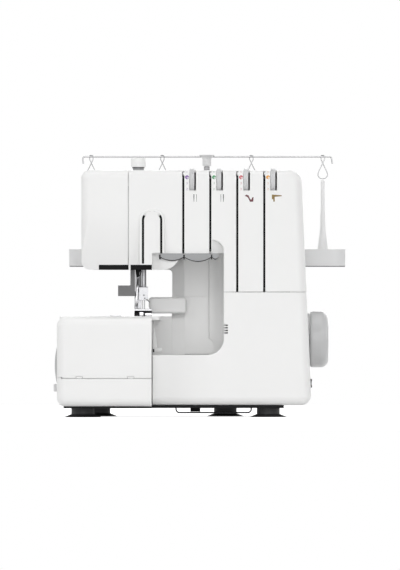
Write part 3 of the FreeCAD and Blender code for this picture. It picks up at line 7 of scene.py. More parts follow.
import bmesh
import bpy
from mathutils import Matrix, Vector


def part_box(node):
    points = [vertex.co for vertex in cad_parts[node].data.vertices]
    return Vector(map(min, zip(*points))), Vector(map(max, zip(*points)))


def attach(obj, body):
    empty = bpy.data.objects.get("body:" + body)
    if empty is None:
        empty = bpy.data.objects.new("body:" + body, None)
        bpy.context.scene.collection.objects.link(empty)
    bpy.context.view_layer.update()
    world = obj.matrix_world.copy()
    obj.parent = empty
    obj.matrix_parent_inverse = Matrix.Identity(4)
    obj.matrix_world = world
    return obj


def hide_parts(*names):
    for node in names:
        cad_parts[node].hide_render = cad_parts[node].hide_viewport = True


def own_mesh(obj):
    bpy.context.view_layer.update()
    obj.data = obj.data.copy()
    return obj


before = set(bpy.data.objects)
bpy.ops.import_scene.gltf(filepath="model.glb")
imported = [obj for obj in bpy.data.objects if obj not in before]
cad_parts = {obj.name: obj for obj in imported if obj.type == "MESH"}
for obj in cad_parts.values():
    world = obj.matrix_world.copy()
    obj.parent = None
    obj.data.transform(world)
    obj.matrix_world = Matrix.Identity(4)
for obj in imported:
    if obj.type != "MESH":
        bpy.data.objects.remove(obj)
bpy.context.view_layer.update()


# Base plate: a flat black plate that closes the machine from below.
# It is moulded ABS with a spark-eroded grain, so its tone and gloss wander a little.
# The covers and the feet are fixed to it.
def moulded_plastic(name, colour, roughness, grain, depth, mottle=0.03, shine=0.5):
    """Grained plastic: fine bumps, slow drift of tone and patches of gloss."""
    material = bpy.data.materials.new(name)
    material.use_nodes = True
    tree = material.node_tree
    shader = tree.nodes["Principled BSDF"]
    shader.inputs["Specular IOR Level"].default_value = shine
    place = tree.nodes.new("ShaderNodeTexCoord")
    fine = tree.nodes.new("ShaderNodeTexNoise")
    fine.inputs["Scale"].default_value = 1.0 / grain
    fine.inputs["Detail"].default_value = 3.0
    slow = tree.nodes.new("ShaderNodeTexNoise")
    slow.inputs["Scale"].default_value = 14.0
    slow.inputs["Detail"].default_value = 2.0
    tone = tree.nodes.new("ShaderNodeValToRGB")
    tone.color_ramp.elements[0].position = 0.35
    tone.color_ramp.elements[0].color = [part * (1 - mottle) for part in colour] + [1]
    tone.color_ramp.elements[1].position = 0.65
    tone.color_ramp.elements[1].color = list(colour) + [1]
    gloss = tree.nodes.new("ShaderNodeMapRange")
    gloss.inputs["To Min"].default_value = roughness - 0.05
    gloss.inputs["To Max"].default_value = roughness + 0.05
    edge = tree.nodes.new("ShaderNodeBevel")
    edge.samples = 4
    edge.inputs["Radius"].default_value = 0.0004
    bump = tree.nodes.new("ShaderNodeBump")
    bump.inputs["Strength"].default_value = 0.25
    bump.inputs["Distance"].default_value = depth
    link = tree.links.new
    link(place.outputs["Object"], fine.inputs["Vector"])
    link(place.outputs["Object"], slow.inputs["Vector"])
    link(slow.outputs["Fac"], tone.inputs["Fac"])
    link(slow.outputs["Fac"], gloss.inputs["Value"])
    link(fine.outputs["Fac"], bump.inputs["Height"])
    link(edge.outputs["Normal"], bump.inputs["Normal"])
    link(tone.outputs["Color"], shader.inputs["Base Color"])
    link(gloss.outputs["Result"], shader.inputs["Roughness"])
    link(bump.outputs["Normal"], shader.inputs["Normal"])
    return material


def dress(material, *names):
    """Gives CAD nodes their material."""
    for name in names:
        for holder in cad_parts[name].material_slots:
            holder.material = material


# Black moulding for real black parts; the same black also paints shade in gaps, seams and sockets around the head and
# hinge.
black_moulding_and_shade = moulded_plastic("black_moulding_and_shade", (0.006, 0.006, 0.0065), 0.6, 0.0004, 0.00006, shine=0.12)
dress(black_moulding_and_shade, "base_plate")


# Suction feet: four soft rubber cups, pressed on under the base.
# The rubber is matt, a little dusty and shows the mould's fine speckle.
def moulded_rubber(name, colour, speckle):
    """Matt rubber with a speckled, slightly chalky skin."""
    material = bpy.data.materials.new(name)
    material.use_nodes = True
    tree = material.node_tree
    shader = tree.nodes["Principled BSDF"]
    shader.inputs["Roughness"].default_value = 0.62
    place = tree.nodes.new("ShaderNodeTexCoord")
    grain = tree.nodes.new("ShaderNodeTexVoronoi")
    grain.inputs["Scale"].default_value = 1.0 / speckle
    dust = tree.nodes.new("ShaderNodeTexNoise")
    dust.inputs["Scale"].default_value = 60.0
    tone = tree.nodes.new("ShaderNodeValToRGB")
    tone.color_ramp.elements[0].position = 0.4
    tone.color_ramp.elements[0].color = list(colour) + [1]
    tone.color_ramp.elements[1].position = 0.75
    tone.color_ramp.elements[1].color = [part * 1.5 for part in colour] + [1]
    bump = tree.nodes.new("ShaderNodeBump")
    bump.inputs["Strength"].default_value = 0.3
    bump.inputs["Distance"].default_value = 0.0001
    link = tree.links.new
    link(place.outputs["Object"], grain.inputs["Vector"])
    link(place.outputs["Object"], dust.inputs["Vector"])
    link(dust.outputs["Fac"], tone.inputs["Fac"])
    link(tone.outputs["Color"], shader.inputs["Base Color"])
    link(grain.outputs["Distance"], bump.inputs["Height"])
    link(bump.outputs["Normal"], shader.inputs["Normal"])
    return material


dress(moulded_rubber("cup_rubber", (0.018, 0.018, 0.019), 0.0008), "suction_feet")


# Waste tray rail: spring wire bent to a long hook under the base and blackened.
# Metal shows the lay of its finishing as fine streaks in gloss and height.
def worked_metal(name, colour, roughness, lay, depth):
    """Metal whose finishing marks run along one direction."""
    material = bpy.data.materials.new(name)
    material.use_nodes = True
    tree = material.node_tree
    shader = tree.nodes["Principled BSDF"]
    shader.inputs["Metallic"].default_value = 1.0
    place = tree.nodes.new("ShaderNodeTexCoord")
    stretch = tree.nodes.new("ShaderNodeMapping")
    stretch.inputs["Scale"].default_value = lay
    streaks = tree.nodes.new("ShaderNodeTexNoise")
    streaks.inputs["Scale"].default_value = 1.0
    streaks.inputs["Detail"].default_value = 4.0
    tone = tree.nodes.new("ShaderNodeValToRGB")
    tone.color_ramp.elements[0].position = 0.3
    tone.color_ramp.elements[0].color = [part * 0.85 for part in colour] + [1]
    tone.color_ramp.elements[1].position = 0.7
    tone.color_ramp.elements[1].color = list(colour) + [1]
    gloss = tree.nodes.new("ShaderNodeMapRange")
    gloss.inputs["To Min"].default_value = roughness * 0.7
    gloss.inputs["To Max"].default_value = roughness * 1.3
    edge = tree.nodes.new("ShaderNodeBevel")
    edge.samples = 4
    edge.inputs["Radius"].default_value = 0.0002
    bump = tree.nodes.new("ShaderNodeBump")
    bump.inputs["Strength"].default_value = 0.2
    bump.inputs["Distance"].default_value = depth
    link = tree.links.new
    link(place.outputs["Object"], stretch.inputs["Vector"])
    link(stretch.outputs["Vector"], streaks.inputs["Vector"])
    link(streaks.outputs["Fac"], tone.inputs["Fac"])
    link(streaks.outputs["Fac"], gloss.inputs["Value"])
    link(streaks.outputs["Fac"], bump.inputs["Height"])
    link(edge.outputs["Normal"], bump.inputs["Normal"])
    link(tone.outputs["Color"], shader.inputs["Base Color"])
    link(gloss.outputs["Result"], shader.inputs["Roughness"])
    link(bump.outputs["Normal"], shader.inputs["Normal"])
    return material


dress(worked_metal("blackened_wire", (0.03, 0.03, 0.033), 0.4, (80, 900, 900), 0.00002), "tray_rail")

# Cast frame, motor and drive: the inner works that carry every other piece.
# The frame is die cast and left rough, the shaft is ground and runs in sintered bronze.
# Black moulded pulleys and a toothed rubber belt join the motor to the shaft.
dress(worked_metal("cast_skin", (0.5, 0.51, 0.52), 0.5, (900, 900, 900), 0.0001), "machine_frame")
dress(worked_metal("ground_shaft", (0.6, 0.6, 0.61), 0.22, (2500, 120, 120), 0.00001), "main_shaft")
dress(worked_metal("sintered_bronze", (0.45, 0.31, 0.15), 0.5, (1500, 1500, 1500), 0.00005), "shaft_bushes")
dress(moulded_plastic("motor_paint", (0.03, 0.03, 0.034), 0.5, 0.0005, 0.00005), "motor")
dress(black_moulding_and_shade, "drive_pulley", "motor_pulley")
dress(moulded_rubber("belt_rubber", (0.015, 0.015, 0.015), 0.0006), "drive_belt")

# White covers: the moulded housing of bed, tower, arm and head, screwed to the frame from behind.
# All are the same bright white ABS with a smooth satin skin.
white_moulding = moulded_plastic("white_moulding", (0.86, 0.86, 0.855), 0.36, 0.0007, 0.00002, 0.012, 0.35)
dress(white_moulding, "bed_cover", "cloth_plate", "face_cover", "upper_front_cover", "lower_front_cover",
      "rear_cover", "throat_cover")
turned_steel = worked_metal("turned_steel", (0.33, 0.33, 0.34), 0.3, (200, 200, 3000), 0.00001)
dress(turned_steel, "cover_screws")


# Throat fairings: white infills clipped into the corners of the throat recess.
# One rounds the corner beside the tower, one carries the wall on from the column to the bed.
# A narrow strip backs the seam across the wall.
def moulded_form(name, rings, body, finish, soft=0.0, closed=False):
    """Piece skinned over rings of points, with its sharp edges softened."""
    form = bmesh.new()
    rows = [[form.verts.new(point) for point in ring] for ring in rings]
    count = len(rows[0])
    pairs = list(zip(rows, rows[1:]))
    if closed:
        pairs.append((rows[-1], rows[0]))
    else:
        form.faces.new(list(reversed(rows[0])))
        form.faces.new(rows[-1])
    for near, far in pairs:
        for spot in range(count):
            after = (spot + 1) % count
            form.faces.new((near[spot], near[after], far[after], far[spot]))
    bmesh.ops.recalc_face_normals(form, faces=form.faces[:])
    if soft:
        sharp = [edge for edge in form.edges if edge.calc_face_angle(0) > 0.6]
        bmesh.ops.bevel(form, geom=sharp, offset=soft, segments=2, profile=0.5, affect="EDGES")
    mesh = bpy.data.meshes.new(name)
    form.to_mesh(mesh)
    form.free()
    mesh.shade_smooth()
    mesh.set_sharp_from_angle(angle=0.6)
    mesh.materials.append(finish)
    piece = bpy.data.objects.new(name, mesh)
    bpy.context.scene.collection.objects.link(piece)
    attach(piece, body)
    return piece


def block_rings(x, y, z):
    """Two rings of a block between pairs of limits, in millimetres."""
    plan = [(x[0], y[0]), (x[1], y[0]), (x[1], y[1]), (x[0], y[1])]
    return [[(px / 1000, py / 1000, level / 1000) for px, py in plan] for level in z]


def plan_rings(*levels):
    """Rings of plan outlines, each with its own height, in millimetres."""
    return [[(x / 1000, y / 1000, z / 1000) for x, y in plan] for plan, z in levels]


throat_wall_y = -15.05
throat_side_x = 26.65
throat_floor_z = 70.5
throat_top_z = 184.6
throat_corner = 18.0
fillet_reach = 17.0
fillet_steps = 24
fillet_sink = 0.06


def fillet_ring(x, z, inward_x, inward_z, reach):
    """Section of the hollow corner at one place along the throat's side."""
    ring = []
    for step in range(fillet_steps + 1):
        turn = step / fillet_steps * math.pi / 2
        into = reach * (1 - math.cos(turn))
        y = throat_wall_y + fillet_sink - (reach + fillet_sink) * (1 - math.sin(turn))
        ring.append(((x + into * inward_x) / 1000, y / 1000, (z + into * inward_z) / 1000))
    ring.append(((x - 0.4 * inward_x) / 1000, (throat_wall_y + 0.4) / 1000, (z - 0.4 * inward_z) / 1000))
    return ring


corner_x = throat_side_x - throat_corner
corner_z = throat_floor_z + throat_corner
fillet_rings = [fillet_ring(throat_side_x, z, -1, 0, fillet_reach)
                for z in (throat_top_z, 160.0, 136.0, 112.0, corner_z)]
for degrees in range(5, 90, 5):
    along = math.radians(degrees)
    fillet_rings.append(fillet_ring(corner_x + throat_corner * math.cos(along),
                                    corner_z - throat_corner * math.sin(along),
                                    -math.cos(along), math.sin(along), fillet_reach * math.cos(along) ** 2))
moulded_form("throat_corner_fairing", fillet_rings, "machine", white_moulding)
bed_end_x = -31.65
facet_end_x = -17.0
facet_back_y = -2.6
fairing_plan = [(bed_end_x, throat_wall_y), (facet_end_x, throat_wall_y), (facet_end_x, -13.8),
                (bed_end_x, facet_back_y)]
fairing_top = [(bed_end_x, facet_back_y - 0.2), (facet_end_x, throat_wall_y), (facet_end_x, -13.8),
               (bed_end_x, facet_back_y)]
moulded_form("column_foot_fairing",
             plan_rings((fairing_plan, throat_floor_z + 0.1), (fairing_plan, 108.0), (fairing_top, 121.5)),
             "machine", white_moulding)
moulded_form("throat_seam_backing", block_rings((-30.8, 26.0), (-14.6, -13.2), (135.6, 136.8)),
             "machine", white_moulding, 0.0001)

# Loopers, knives, feed dogs and needle plate: hardened steel, ground on their working faces.
# They sit in the bed on the cast frame, and the plate is let into the cloth plate.
ground_steel = worked_metal("ground_steel", (0.56, 0.56, 0.57), 0.3, (300, 2600, 300), 0.00001)
dress(ground_steel, "needle_plate", "feed_dogs", "lower_knife", "upper_knife", "lower_looper", "upper_looper")
moulded_form("seam_guide", block_rings((-101.5, -89.0), (-77.0, -60.0), (113.75, 115.0)), "machine",
             ground_steel, 0.0003)

# Looper cover and skirt: white mouldings round the loopers, joined by a hinge rod behind thin curved strips.
# Flat walls close their right ends, and a strip closes the side under the cloth plate.
# Beside the cover stand the blade and shelf of its catch.
dress(white_moulding, "looper_cover", "looper_skirt")
dress(turned_steel, "looper_hinge_rod")
hinge_y = -137.75
hinge_z = 45.0
strip_radius = 1.43
strip_sheet = 0.14
# Place of the thin black strip painted as the shadow along the hinge seam.
shadow_line_y = (-139.06, -138.9)
shadow_line_z = (43.46, 43.74)


def hinge_strip(name, x, top_angle, top_z, body):
    """Thin strip bent round the front of the hinge, run on straight up to a height if one is given."""
    outer = [(hinge_y - strip_radius * math.cos(math.radians(angle)),
              hinge_z + strip_radius * math.sin(math.radians(angle))) for angle in range(-60, top_angle + 1, 12)]
    if top_z:
        outer.append((hinge_y - strip_radius, top_z))
    inner = [(y + strip_sheet, z) for y, z in reversed(outer)]
    moulded_form(name, [[(place / 1000, y / 1000, z / 1000) for y, z in outer + inner] for place in x],
                 body, white_moulding)


for number, ends in enumerate(((-155.2, -139.9), (-132.1, -81.9), (-74.1, -54.6)), start=1):
    hinge_strip("hinge_strip_" + str(number), ends, 0, 47.2, "looper_cover")
# Knuckle strips, each with a thin black strip beneath that is painted shadow along the hinge seam.
for number, ends in enumerate(((-139.5, -132.5), (-81.5, -74.5)), start=1):
    hinge_strip("knuckle_strip_" + str(number), ends, 84, None, "machine")
    moulded_form("knuckle_shadow_line_" + str(number), block_rings(ends, shadow_line_y, shadow_line_z), "machine",
                 black_moulding_and_shade)


def end_wall(name, outline, x, body):
    """Flat white wall across the end of a cover, its outline in millimetres of Y and Z."""
    rings = [[(place / 1000, y / 1000, z / 1000) for y, z in outline] for place in x]
    moulded_form(name, rings, body, white_moulding, 0.0003)


end_wall_x = (-56.6, -54.5)
end_front_y = -138.2
end_back_y = -59.0
end_corner = (-130.5, 104.2)
end_corner_round = 7.6
cover_outline = [(end_front_y, 46.8), (end_back_y, 46.8), (end_back_y, 100.4), (-81.6, 100.4), (-81.6, 111.8)]
cover_outline += [(end_corner[0] + end_corner_round * math.cos(math.radians(angle)),
                   end_corner[1] + end_corner_round * math.sin(math.radians(angle))) for angle in range(90, 181, 15)]
end_wall("looper_cover_end", cover_outline, end_wall_x, "looper_cover")
end_wall("looper_skirt_end", [(end_front_y, 14.0), (end_back_y, 14.0), (end_back_y, 43.0), (end_front_y, 43.0)],
         end_wall_x, "machine")
end_wall("cloth_plate_side", [(-80.4, 101.4), (-58.4, 101.4), (-58.4, 109.6), (-80.4, 109.6)], (-158.4, -156.6),
         "machine")
catch_left_x = -52.0
catch_right_x = -47.8
moulded_form("catch_blade",
             plan_rings(([(catch_left_x, -64.0), (catch_right_x, -62.0), (catch_right_x, -56.0),
                          (catch_left_x, -56.0)], 77.0),
                        ([(catch_left_x, -64.0), (-50.2, -62.5), (-50.2, -57.0), (catch_left_x, -57.0)], 92.0),
                        ([(catch_left_x, -63.0), (-51.5, -62.5), (-51.5, -58.0), (catch_left_x, -58.0)], 100.7)),
             "machine", white_moulding, 0.0003)
moulded_form("catch_shelf", block_rings((catch_left_x, -43.1), (-66.0, -56.0), (73.6, 77.9)), "machine",
             white_moulding, 0.0006)
moulded_form("catch_stop", block_rings((-53.2, -51.6), (-67.0, -62.0), (73.2, 77.0)), "machine",
             black_moulding_and_shade, 0.0003)

# Needle bar, clamp and needles: turned and ground steel, the clamp held by two small screws.
# Black hexagons on the screws are painted shade in their sockets, and a wire hook beside the clamp leads the threads.
dress(turned_steel, "needle_bar", "needle_clamp", "needles")
# Black hexagon sheets: painted shade in the screws' sockets.
socket_shade_y = -54.56
for number, (x, z) in enumerate(((-63.4, 137.8), (-62.4, 134.3)), start=1):
    socket_shade_rings = [[((x + 0.8 * math.cos(step * math.tau / 6)) / 1000, y / 1000,
                      (z + 0.8 * math.sin(step * math.tau / 6)) / 1000) for step in range(6)]
                    for y in (socket_shade_y, socket_shade_y + 0.3)]
    moulded_form("clamp_socket_shade_" + str(number), socket_shade_rings, "needle_bar", black_moulding_and_shade)


def bent_rod(name, path, radii, body, finish, sides=8):
    """Round rod along points, in millimetres, with a radius at each of them."""
    points = [Vector(point) for point in path]
    rings = []
    for place, point in enumerate(points):
        ahead = points[min(place + 1, len(points) - 1)] - points[max(place - 1, 0)]
        across = ahead.cross(Vector((0.3, 1.0, 0.2))).normalized()
        up = ahead.cross(across).normalized()
        rings.append([(point + radii[place] * (math.cos(step * math.tau / sides) * across
                                               + math.sin(step * math.tau / sides) * up)) / 1000
                      for step in range(sides)])
    return moulded_form(name, rings, body, finish)


# Dark steel for the thread hook; the same dark also paints the shadow ring under the pressure knob.
dark_steel_and_shade = worked_metal("dark_steel_and_shade", (0.12, 0.12, 0.125), 0.4, (400, 400, 400), 0.00002)
bent_rod("clamp_thread_hook", [(-60.5, -54.0, 132.6), (-59.0, -54.8, 132.2), (-57.8, -55.0, 130.8),
                               (-57.0, -55.0, 129.4)], [0.7, 0.7, 0.6, 0.4], "needle_bar", dark_steel_and_shade)

# Presser bar, foot, lifter and pressure knob: a steel bar under a wound spring carries the plated foot.
# The lifter and the knob are white mouldings; the knob turns on a ribbed grey sleeve, with a dark ring painted as the
# knob's shadow.
# A black block at the foot's left end is painted shade in the gap there, and its toes are bright steel.
dress(turned_steel, "presser_bar", "foot_holder")
spring_low, spring_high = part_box("presser_spring")
spring_centre = (spring_low + spring_high) / 2
spring_wire = 0.0007
spring_radius = (spring_high.x - spring_low.x) / 2 - spring_wire
spring_turns = 9
turn_steps = 24
wire_sides = 8
coil_rings = []
for step in range(spring_turns * turn_steps + 1):
    along = step / turn_steps * math.tau
    share = step / (spring_turns * turn_steps)
    middle_z = spring_low.z + spring_wire + (spring_high.z - spring_low.z - 2 * spring_wire) * share
    ring = []
    for side in range(wire_sides):
        out = spring_radius + spring_wire * math.cos(side * math.tau / wire_sides)
        ring.append((spring_centre.x + out * math.cos(along), spring_centre.y + out * math.sin(along),
                     middle_z + spring_wire * math.sin(side * math.tau / wire_sides)))
    coil_rings.append(ring)
spring_coil = moulded_form("presser_spring_coil", coil_rings, "machine", turned_steel)
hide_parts("presser_spring")
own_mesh(spring_coil)
plated_steel = worked_metal("plated_steel", (0.42, 0.42, 0.43), 0.2, (1200, 200, 1200), 0.000008)
dress(plated_steel, "presser_foot")
dress(white_moulding, "presser_lifter", "pressure_knob")
# Black block at the foot's left end: painted shade in the gap beside the sole.
moulded_form("foot_gap_shade", block_rings((-74.15, -68.4), (-76.1, -70.0), (114.15, 118.2)), "presser_bar",
             black_moulding_and_shade, 0.0004)
bright_steel = worked_metal("bright_steel", (0.68, 0.68, 0.69), 0.3, (200, 200, 1600), 0.00001)
for number, (left, right, top) in enumerate(((-68.3, -63.9, 118.4), (-62.1, -54.5, 117.4)), start=1):
    moulded_form("foot_toe_" + str(number), block_rings((left, right), (-76.15, -75.4), (114.3, top)), "presser_bar",
                 bright_steel, 0.0002)
moulded_form("foot_blade",
             plan_rings(([(-74.1, -44.4), (-70.0, -44.4), (-70.0, -42.8), (-74.1, -42.8)], 123.0),
                        ([(-73.4, -44.4), (-69.6, -44.4), (-69.6, -42.8), (-73.4, -42.8)], 140.0),
                        ([(-70.6, -41.6), (-69.2, -41.6), (-69.2, -40.2), (-70.6, -40.2)], 157.0)),
             "presser_bar", plated_steel, 0.0002)
knob_x = -69.7
knob_y = -37.0
grey_moulding = moulded_plastic("grey_moulding", (0.36, 0.365, 0.37), 0.4, 0.0006, 0.00003)
sleeve_ribs = 64


def round_ring(radius, rib, z):
    """Ring about the pressure knob's axis, its radius ribbed by a small step."""
    return [((knob_x + (radius + rib * (step // 2 % 2)) * math.cos(step * math.tau / sleeve_ribs)) / 1000,
             (knob_y + (radius + rib * (step // 2 % 2)) * math.sin(step * math.tau / sleeve_ribs)) / 1000,
             z / 1000) for step in range(sleeve_ribs)]


moulded_form("knob_sleeve", [round_ring(5.9, 0.35, z) for z in (278.9, 281.6)], "pressure_knob", grey_moulding)
# Dark ring under the knob: painted shadow cast by the knob on its sleeve.
moulded_form("knob_shadow_ring", [round_ring(6.9, 0.0, 281.6), round_ring(6.9, 0.0, 282.9)], "pressure_knob",
             dark_steel_and_shade, 0.0002)

# Chain cutter, the plate under the head and the needle thread guide: dark trim round the needle.
# The cutter is painted sheet steel, the rest is black moulded plastic.
dress(moulded_plastic("dark_paint", (0.13, 0.13, 0.133), 0.42, 0.0005, 0.00004), "chain_cutter")
dress(black_moulding_and_shade, "head_under_plate")
moulded_form("needle_thread_guide",
             plan_rings(([(-73.0, -66.0), (-66.0, -66.0), (-66.0, -60.0), (-73.0, -60.0)], 166.6),
                        ([(-72.6, -66.0), (-68.6, -66.0), (-68.6, -61.0), (-72.6, -61.0)], 163.0),
                        ([(-71.4, -65.6), (-69.2, -65.6), (-69.2, -62.4), (-71.4, -62.4)], 158.0)),
             "machine", black_moulding_and_shade, 0.0003)
bent_rod("needle_thread_wire", [(-66.8, -65.0, 166.8), (-66.6, -65.4, 164.0), (-67.4, -65.8, 161.0),
                                (-68.6, -66.0, 159.4), (-69.8, -65.8, 159.6)], [0.6, 0.6, 0.55, 0.5, 0.5],
         "machine", black_moulding_and_shade)

# Take-up cover: a raised white plate on the head, with a black groove on both sides of its tongue.
# The tongue is joined to the plate at the top, where the groove closes.
dress(white_moulding, "take_up_cover")
dress(black_moulding_and_shade, "take_up_liner")
tongue_outer = 9.95
tongue_inner = 7.35
tongue_centres = (-55.6, -52.3)
tongue_z = 222.7
tongue_face_y = -108.5
bridge_rings = []
for degrees in (-54, -48, -40, -30, -15, 0, 15, 30, 40, 48, 54):
    lean = math.radians(degrees)
    middle_x = tongue_centres[0] if degrees < 0 else tongue_centres[1] if degrees > 0 else sum(tongue_centres) / 2
    sink = 2.4 * max(abs(degrees) - 36, 0) / 18
    bridge_rings.append([((middle_x + radius * math.sin(lean)) / 1000, y / 1000,
                          (tongue_z + radius * math.cos(lean)) / 1000)
                         for radius, y in ((tongue_outer, tongue_face_y + sink), (tongue_inner, tongue_face_y + sink),
                                           (tongue_inner, -105.9), (tongue_outer, -105.9))])
moulded_form("tongue_bridge", bridge_rings, "machine", white_moulding)

# Thread channels: black mouldings behind the four slots of the arm, clipped in from inside.
# A small white catch at the top of each slot holds the thread in its path.
dress(black_moulding_and_shade, "thread_channels")
slot_xs = (-18.7, 11.8, 42.3, 72.8)
slot_half = 1.2
catch_sections = ((0.5, -104.9, -101.0, 272.6), (1.5, -104.5, -100.5, 275.0), (1.3, -102.9, -99.5, 276.6))
for number, slot_x in enumerate(slot_xs, start=1):
    right = slot_x + slot_half
    catch_levels = [([(right - reach, front), (right + 0.5, front), (right + 0.5, back), (right - reach, back)], z)
                    for reach, front, back, z in catch_sections]
    moulded_form("thread_catch_" + str(number), plan_rings(*catch_levels), "machine", white_moulding, 0.0003)

# Thread lips: smooth grey mouldings under the arm, over which the threads pass.
# A thin black strip under each lip is painted shadow in the gap below it, and black blocks between the lips are painted
# shade in the slot ends.
lip_grey = moulded_plastic("lip_grey", (0.30, 0.305, 0.31), 0.38, 0.0006, 0.00003)
dress(lip_grey, "thread_lips")
lip_top_z = 185.0
lip_side = 4.0
lip_forms = ((-44.4, -18.7, 7.6), (-17.1, 12.7, 8.6), (14.1, 21.0, 6.0))
shadow_strip_sheet = 1.0
# Each black strip under a lip is painted shadow in the gap beneath it.
for number, (left, right, sag) in enumerate(lip_forms, start=1):
    shadow_strip_rings = []
    for step in range(13):
        share = step / 12
        x = left + (right - left) * share
        edge_z = lip_top_z - lip_side - (sag - lip_side) * 4 * share * (1 - share) + 0.05
        shadow_strip_rings.append([(x / 1000, y / 1000, z / 1000) for y, z in (
            (-106.9, edge_z), (-106.9, edge_z - shadow_strip_sheet), (-91.0, edge_z - shadow_strip_sheet), (-91.0, edge_z))])
    moulded_form("lip_shadow_strip_" + str(number), shadow_strip_rings, "machine", black_moulding_and_shade)
# Black blocks between the lips: painted shade where the slots run on past the lips.
for number, (left, right, low) in enumerate(((-46.0, -44.5, 178.4), (-18.65, -17.15, 178.2), (12.75, 14.05, 178.2)),
                                            start=1):
    moulded_form("lip_gap_shade_" + str(number), block_rings((left, right), (-106.8, -92.0), (low, 183.6)), "machine",
                 black_moulding_and_shade, 0.0002)

# Tension units: thumb dials of grey plastic, ribbed across the rim so that a finger can turn them.
# Each runs on a steel spindle with two discs and a spring, on a bracket behind the arm's front.
dress(turned_steel, "tension_brackets", "tension_stacks")
dial_low, dial_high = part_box("tension_dial_1")
dial_centre = (dial_low + dial_high) / 2
rib_count = 72
ribbed_grey = moulded_plastic("ribbed_grey", (0.68, 0.685, 0.69), 0.42, 0.0006, 0.00003)
rib_tree = ribbed_grey.node_tree
rib_place = rib_tree.nodes.new("ShaderNodeTexCoord")
rib_turn = rib_tree.nodes.new("ShaderNodeMapping")
rib_turn.vector_type = "TEXTURE"
rib_turn.inputs["Location"].default_value = (0, dial_centre.y, dial_centre.z)
rib_turn.inputs["Rotation"].default_value = (0, math.radians(90), 0)
rib_angle = rib_tree.nodes.new("ShaderNodeTexGradient")
rib_angle.gradient_type = "RADIAL"
rib_steps = rib_tree.nodes.new("ShaderNodeMath")
rib_steps.operation = "MULTIPLY"
rib_steps.inputs[1].default_value = rib_count * math.tau
rib_wave = rib_tree.nodes.new("ShaderNodeMath")
rib_wave.operation = "SINE"
rib_bump = rib_tree.nodes.new("ShaderNodeBump")
rib_bump.inputs["Strength"].default_value = 0.6
rib_bump.inputs["Distance"].default_value = 0.0003
rib_link = rib_tree.links.new
rib_link(rib_place.outputs["Object"], rib_turn.inputs["Vector"])
rib_link(rib_turn.outputs["Vector"], rib_angle.inputs["Vector"])
rib_link(rib_angle.outputs["Fac"], rib_steps.inputs[0])
rib_link(rib_steps.outputs["Value"], rib_wave.inputs[0])
rib_link(rib_wave.outputs["Value"], rib_bump.inputs["Height"])
rib_link(rib_bump.outputs["Normal"], rib_tree.nodes["Principled BSDF"].inputs["Normal"])
dress(ribbed_grey, "tension_dial_1", "tension_dial_2", "tension_dial_3", "tension_dial_4")


# Numbers beside the dials: printed on the cover in each thread's colour, up and over its edge.
# The middle setting is a white figure on a round spot. Under each dial stands a thread sign.
arm_front_y = -0.105
arm_top_z = 0.279
arm_edge_round = 0.009


def printed(name, mark_mesh, x, rise, ink, lift=0.00004):
    """Flat mark laid on the arm's front, followed over its rounded upper edge."""
    for point in mark_mesh.vertices:
        height = rise + point.co.y
        turn = max(height - arm_top_z + arm_edge_round, 0) / arm_edge_round
        reach = arm_edge_round + lift
        point.co = (x + point.co.x, arm_front_y + arm_edge_round - reach * math.cos(turn),
                    min(height, arm_top_z - arm_edge_round) + reach * math.sin(turn))
    mark_mesh.materials.clear()
    mark_mesh.materials.append(ink)
    mark = bpy.data.objects.new(name, mark_mesh)
    bpy.context.scene.collection.objects.link(mark)
    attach(mark, "machine")


def figure_mesh(text, height):
    """Outline of a printed figure, centred."""
    curve = bpy.data.curves.new("figure", "FONT")
    curve.body = text
    curve.size = height / 0.7
    curve.align_x = "CENTER"
    curve.align_y = "CENTER"
    curve.resolution_u = 3
    holder = bpy.data.objects.new("figure", curve)
    bpy.context.scene.collection.objects.link(holder)
    bpy.context.view_layer.update()
    mesh = bpy.data.meshes.new_from_object(holder.evaluated_get(bpy.context.evaluated_depsgraph_get()))
    bpy.data.objects.remove(holder)
    return mesh


def patch_mesh(outline):
    """Flat patch inside an outline."""
    sheet = bmesh.new()
    sheet.faces.new([sheet.verts.new((x, y, 0)) for x, y in outline])
    bmesh.ops.triangulate(sheet, faces=sheet.faces[:])
    mesh = bpy.data.meshes.new("patch")
    sheet.to_mesh(mesh)
    sheet.free()
    return mesh


thread_inks = [(0.17, 0.05, 0.3), (0.02, 0.25, 0.08), (0.55, 0.03, 0.06), (0.75, 0.32, 0.02)]
figure_offset = -0.0057
figure_rises = {"5": 0.278, "3": 0.2642, "2": 0.2576}
spot_rise = 0.2711
spot_radius = 0.0022
spot_steps = 24
white_ink = moulded_plastic("white_ink", (0.85, 0.85, 0.85), 0.5, 0.0003, 0.00001)
sign_shapes = [
    [[(-1.6, -4.2), (-1.2, -4.2), (-0.9, 0.6), (-0.9, 4.4), (-1.9, 4.4), (-1.9, 0.6)],
     [(1.3, -4.2), (1.6, -4.2), (1.7, 1.0), (1.7, 4.4), (1.2, 4.4), (1.2, 1.0)]],
    [[(-1.6, -4.2), (-1.3, -4.2), (-1.2, 1.0), (-1.2, 4.4), (-1.7, 4.4), (-1.7, 1.0)],
     [(1.2, -4.2), (1.6, -4.2), (1.9, 0.6), (1.9, 4.4), (0.9, 4.4), (0.9, 0.6)]],
    [[(-5.0, 2.6), (-3.2, 4.0), (-0.6, 3.0), (1.2, -1.2), (2.6, -1.6), (3.4, 0.6), (5.0, 1.2),
      (4.6, -4.0), (1.0, -4.2), (-1.4, 0.6), (-3.2, 1.8)]],
    [[(-4.8, 4.0), (6.0, 3.2), (6.6, 2.2), (-1.6, 1.4), (-1.6, -4.0), (-3.0, -4.0), (-3.4, -1.0),
      (-4.8, -1.4)]],
]
sign_inks = [(0.1, 0.1, 0.11), (0.1, 0.12, 0.11), (0.13, 0.035, 0.045), (0.22, 0.14, 0.03)]
sign_offset = 0.0035
sign_rise = 0.2475
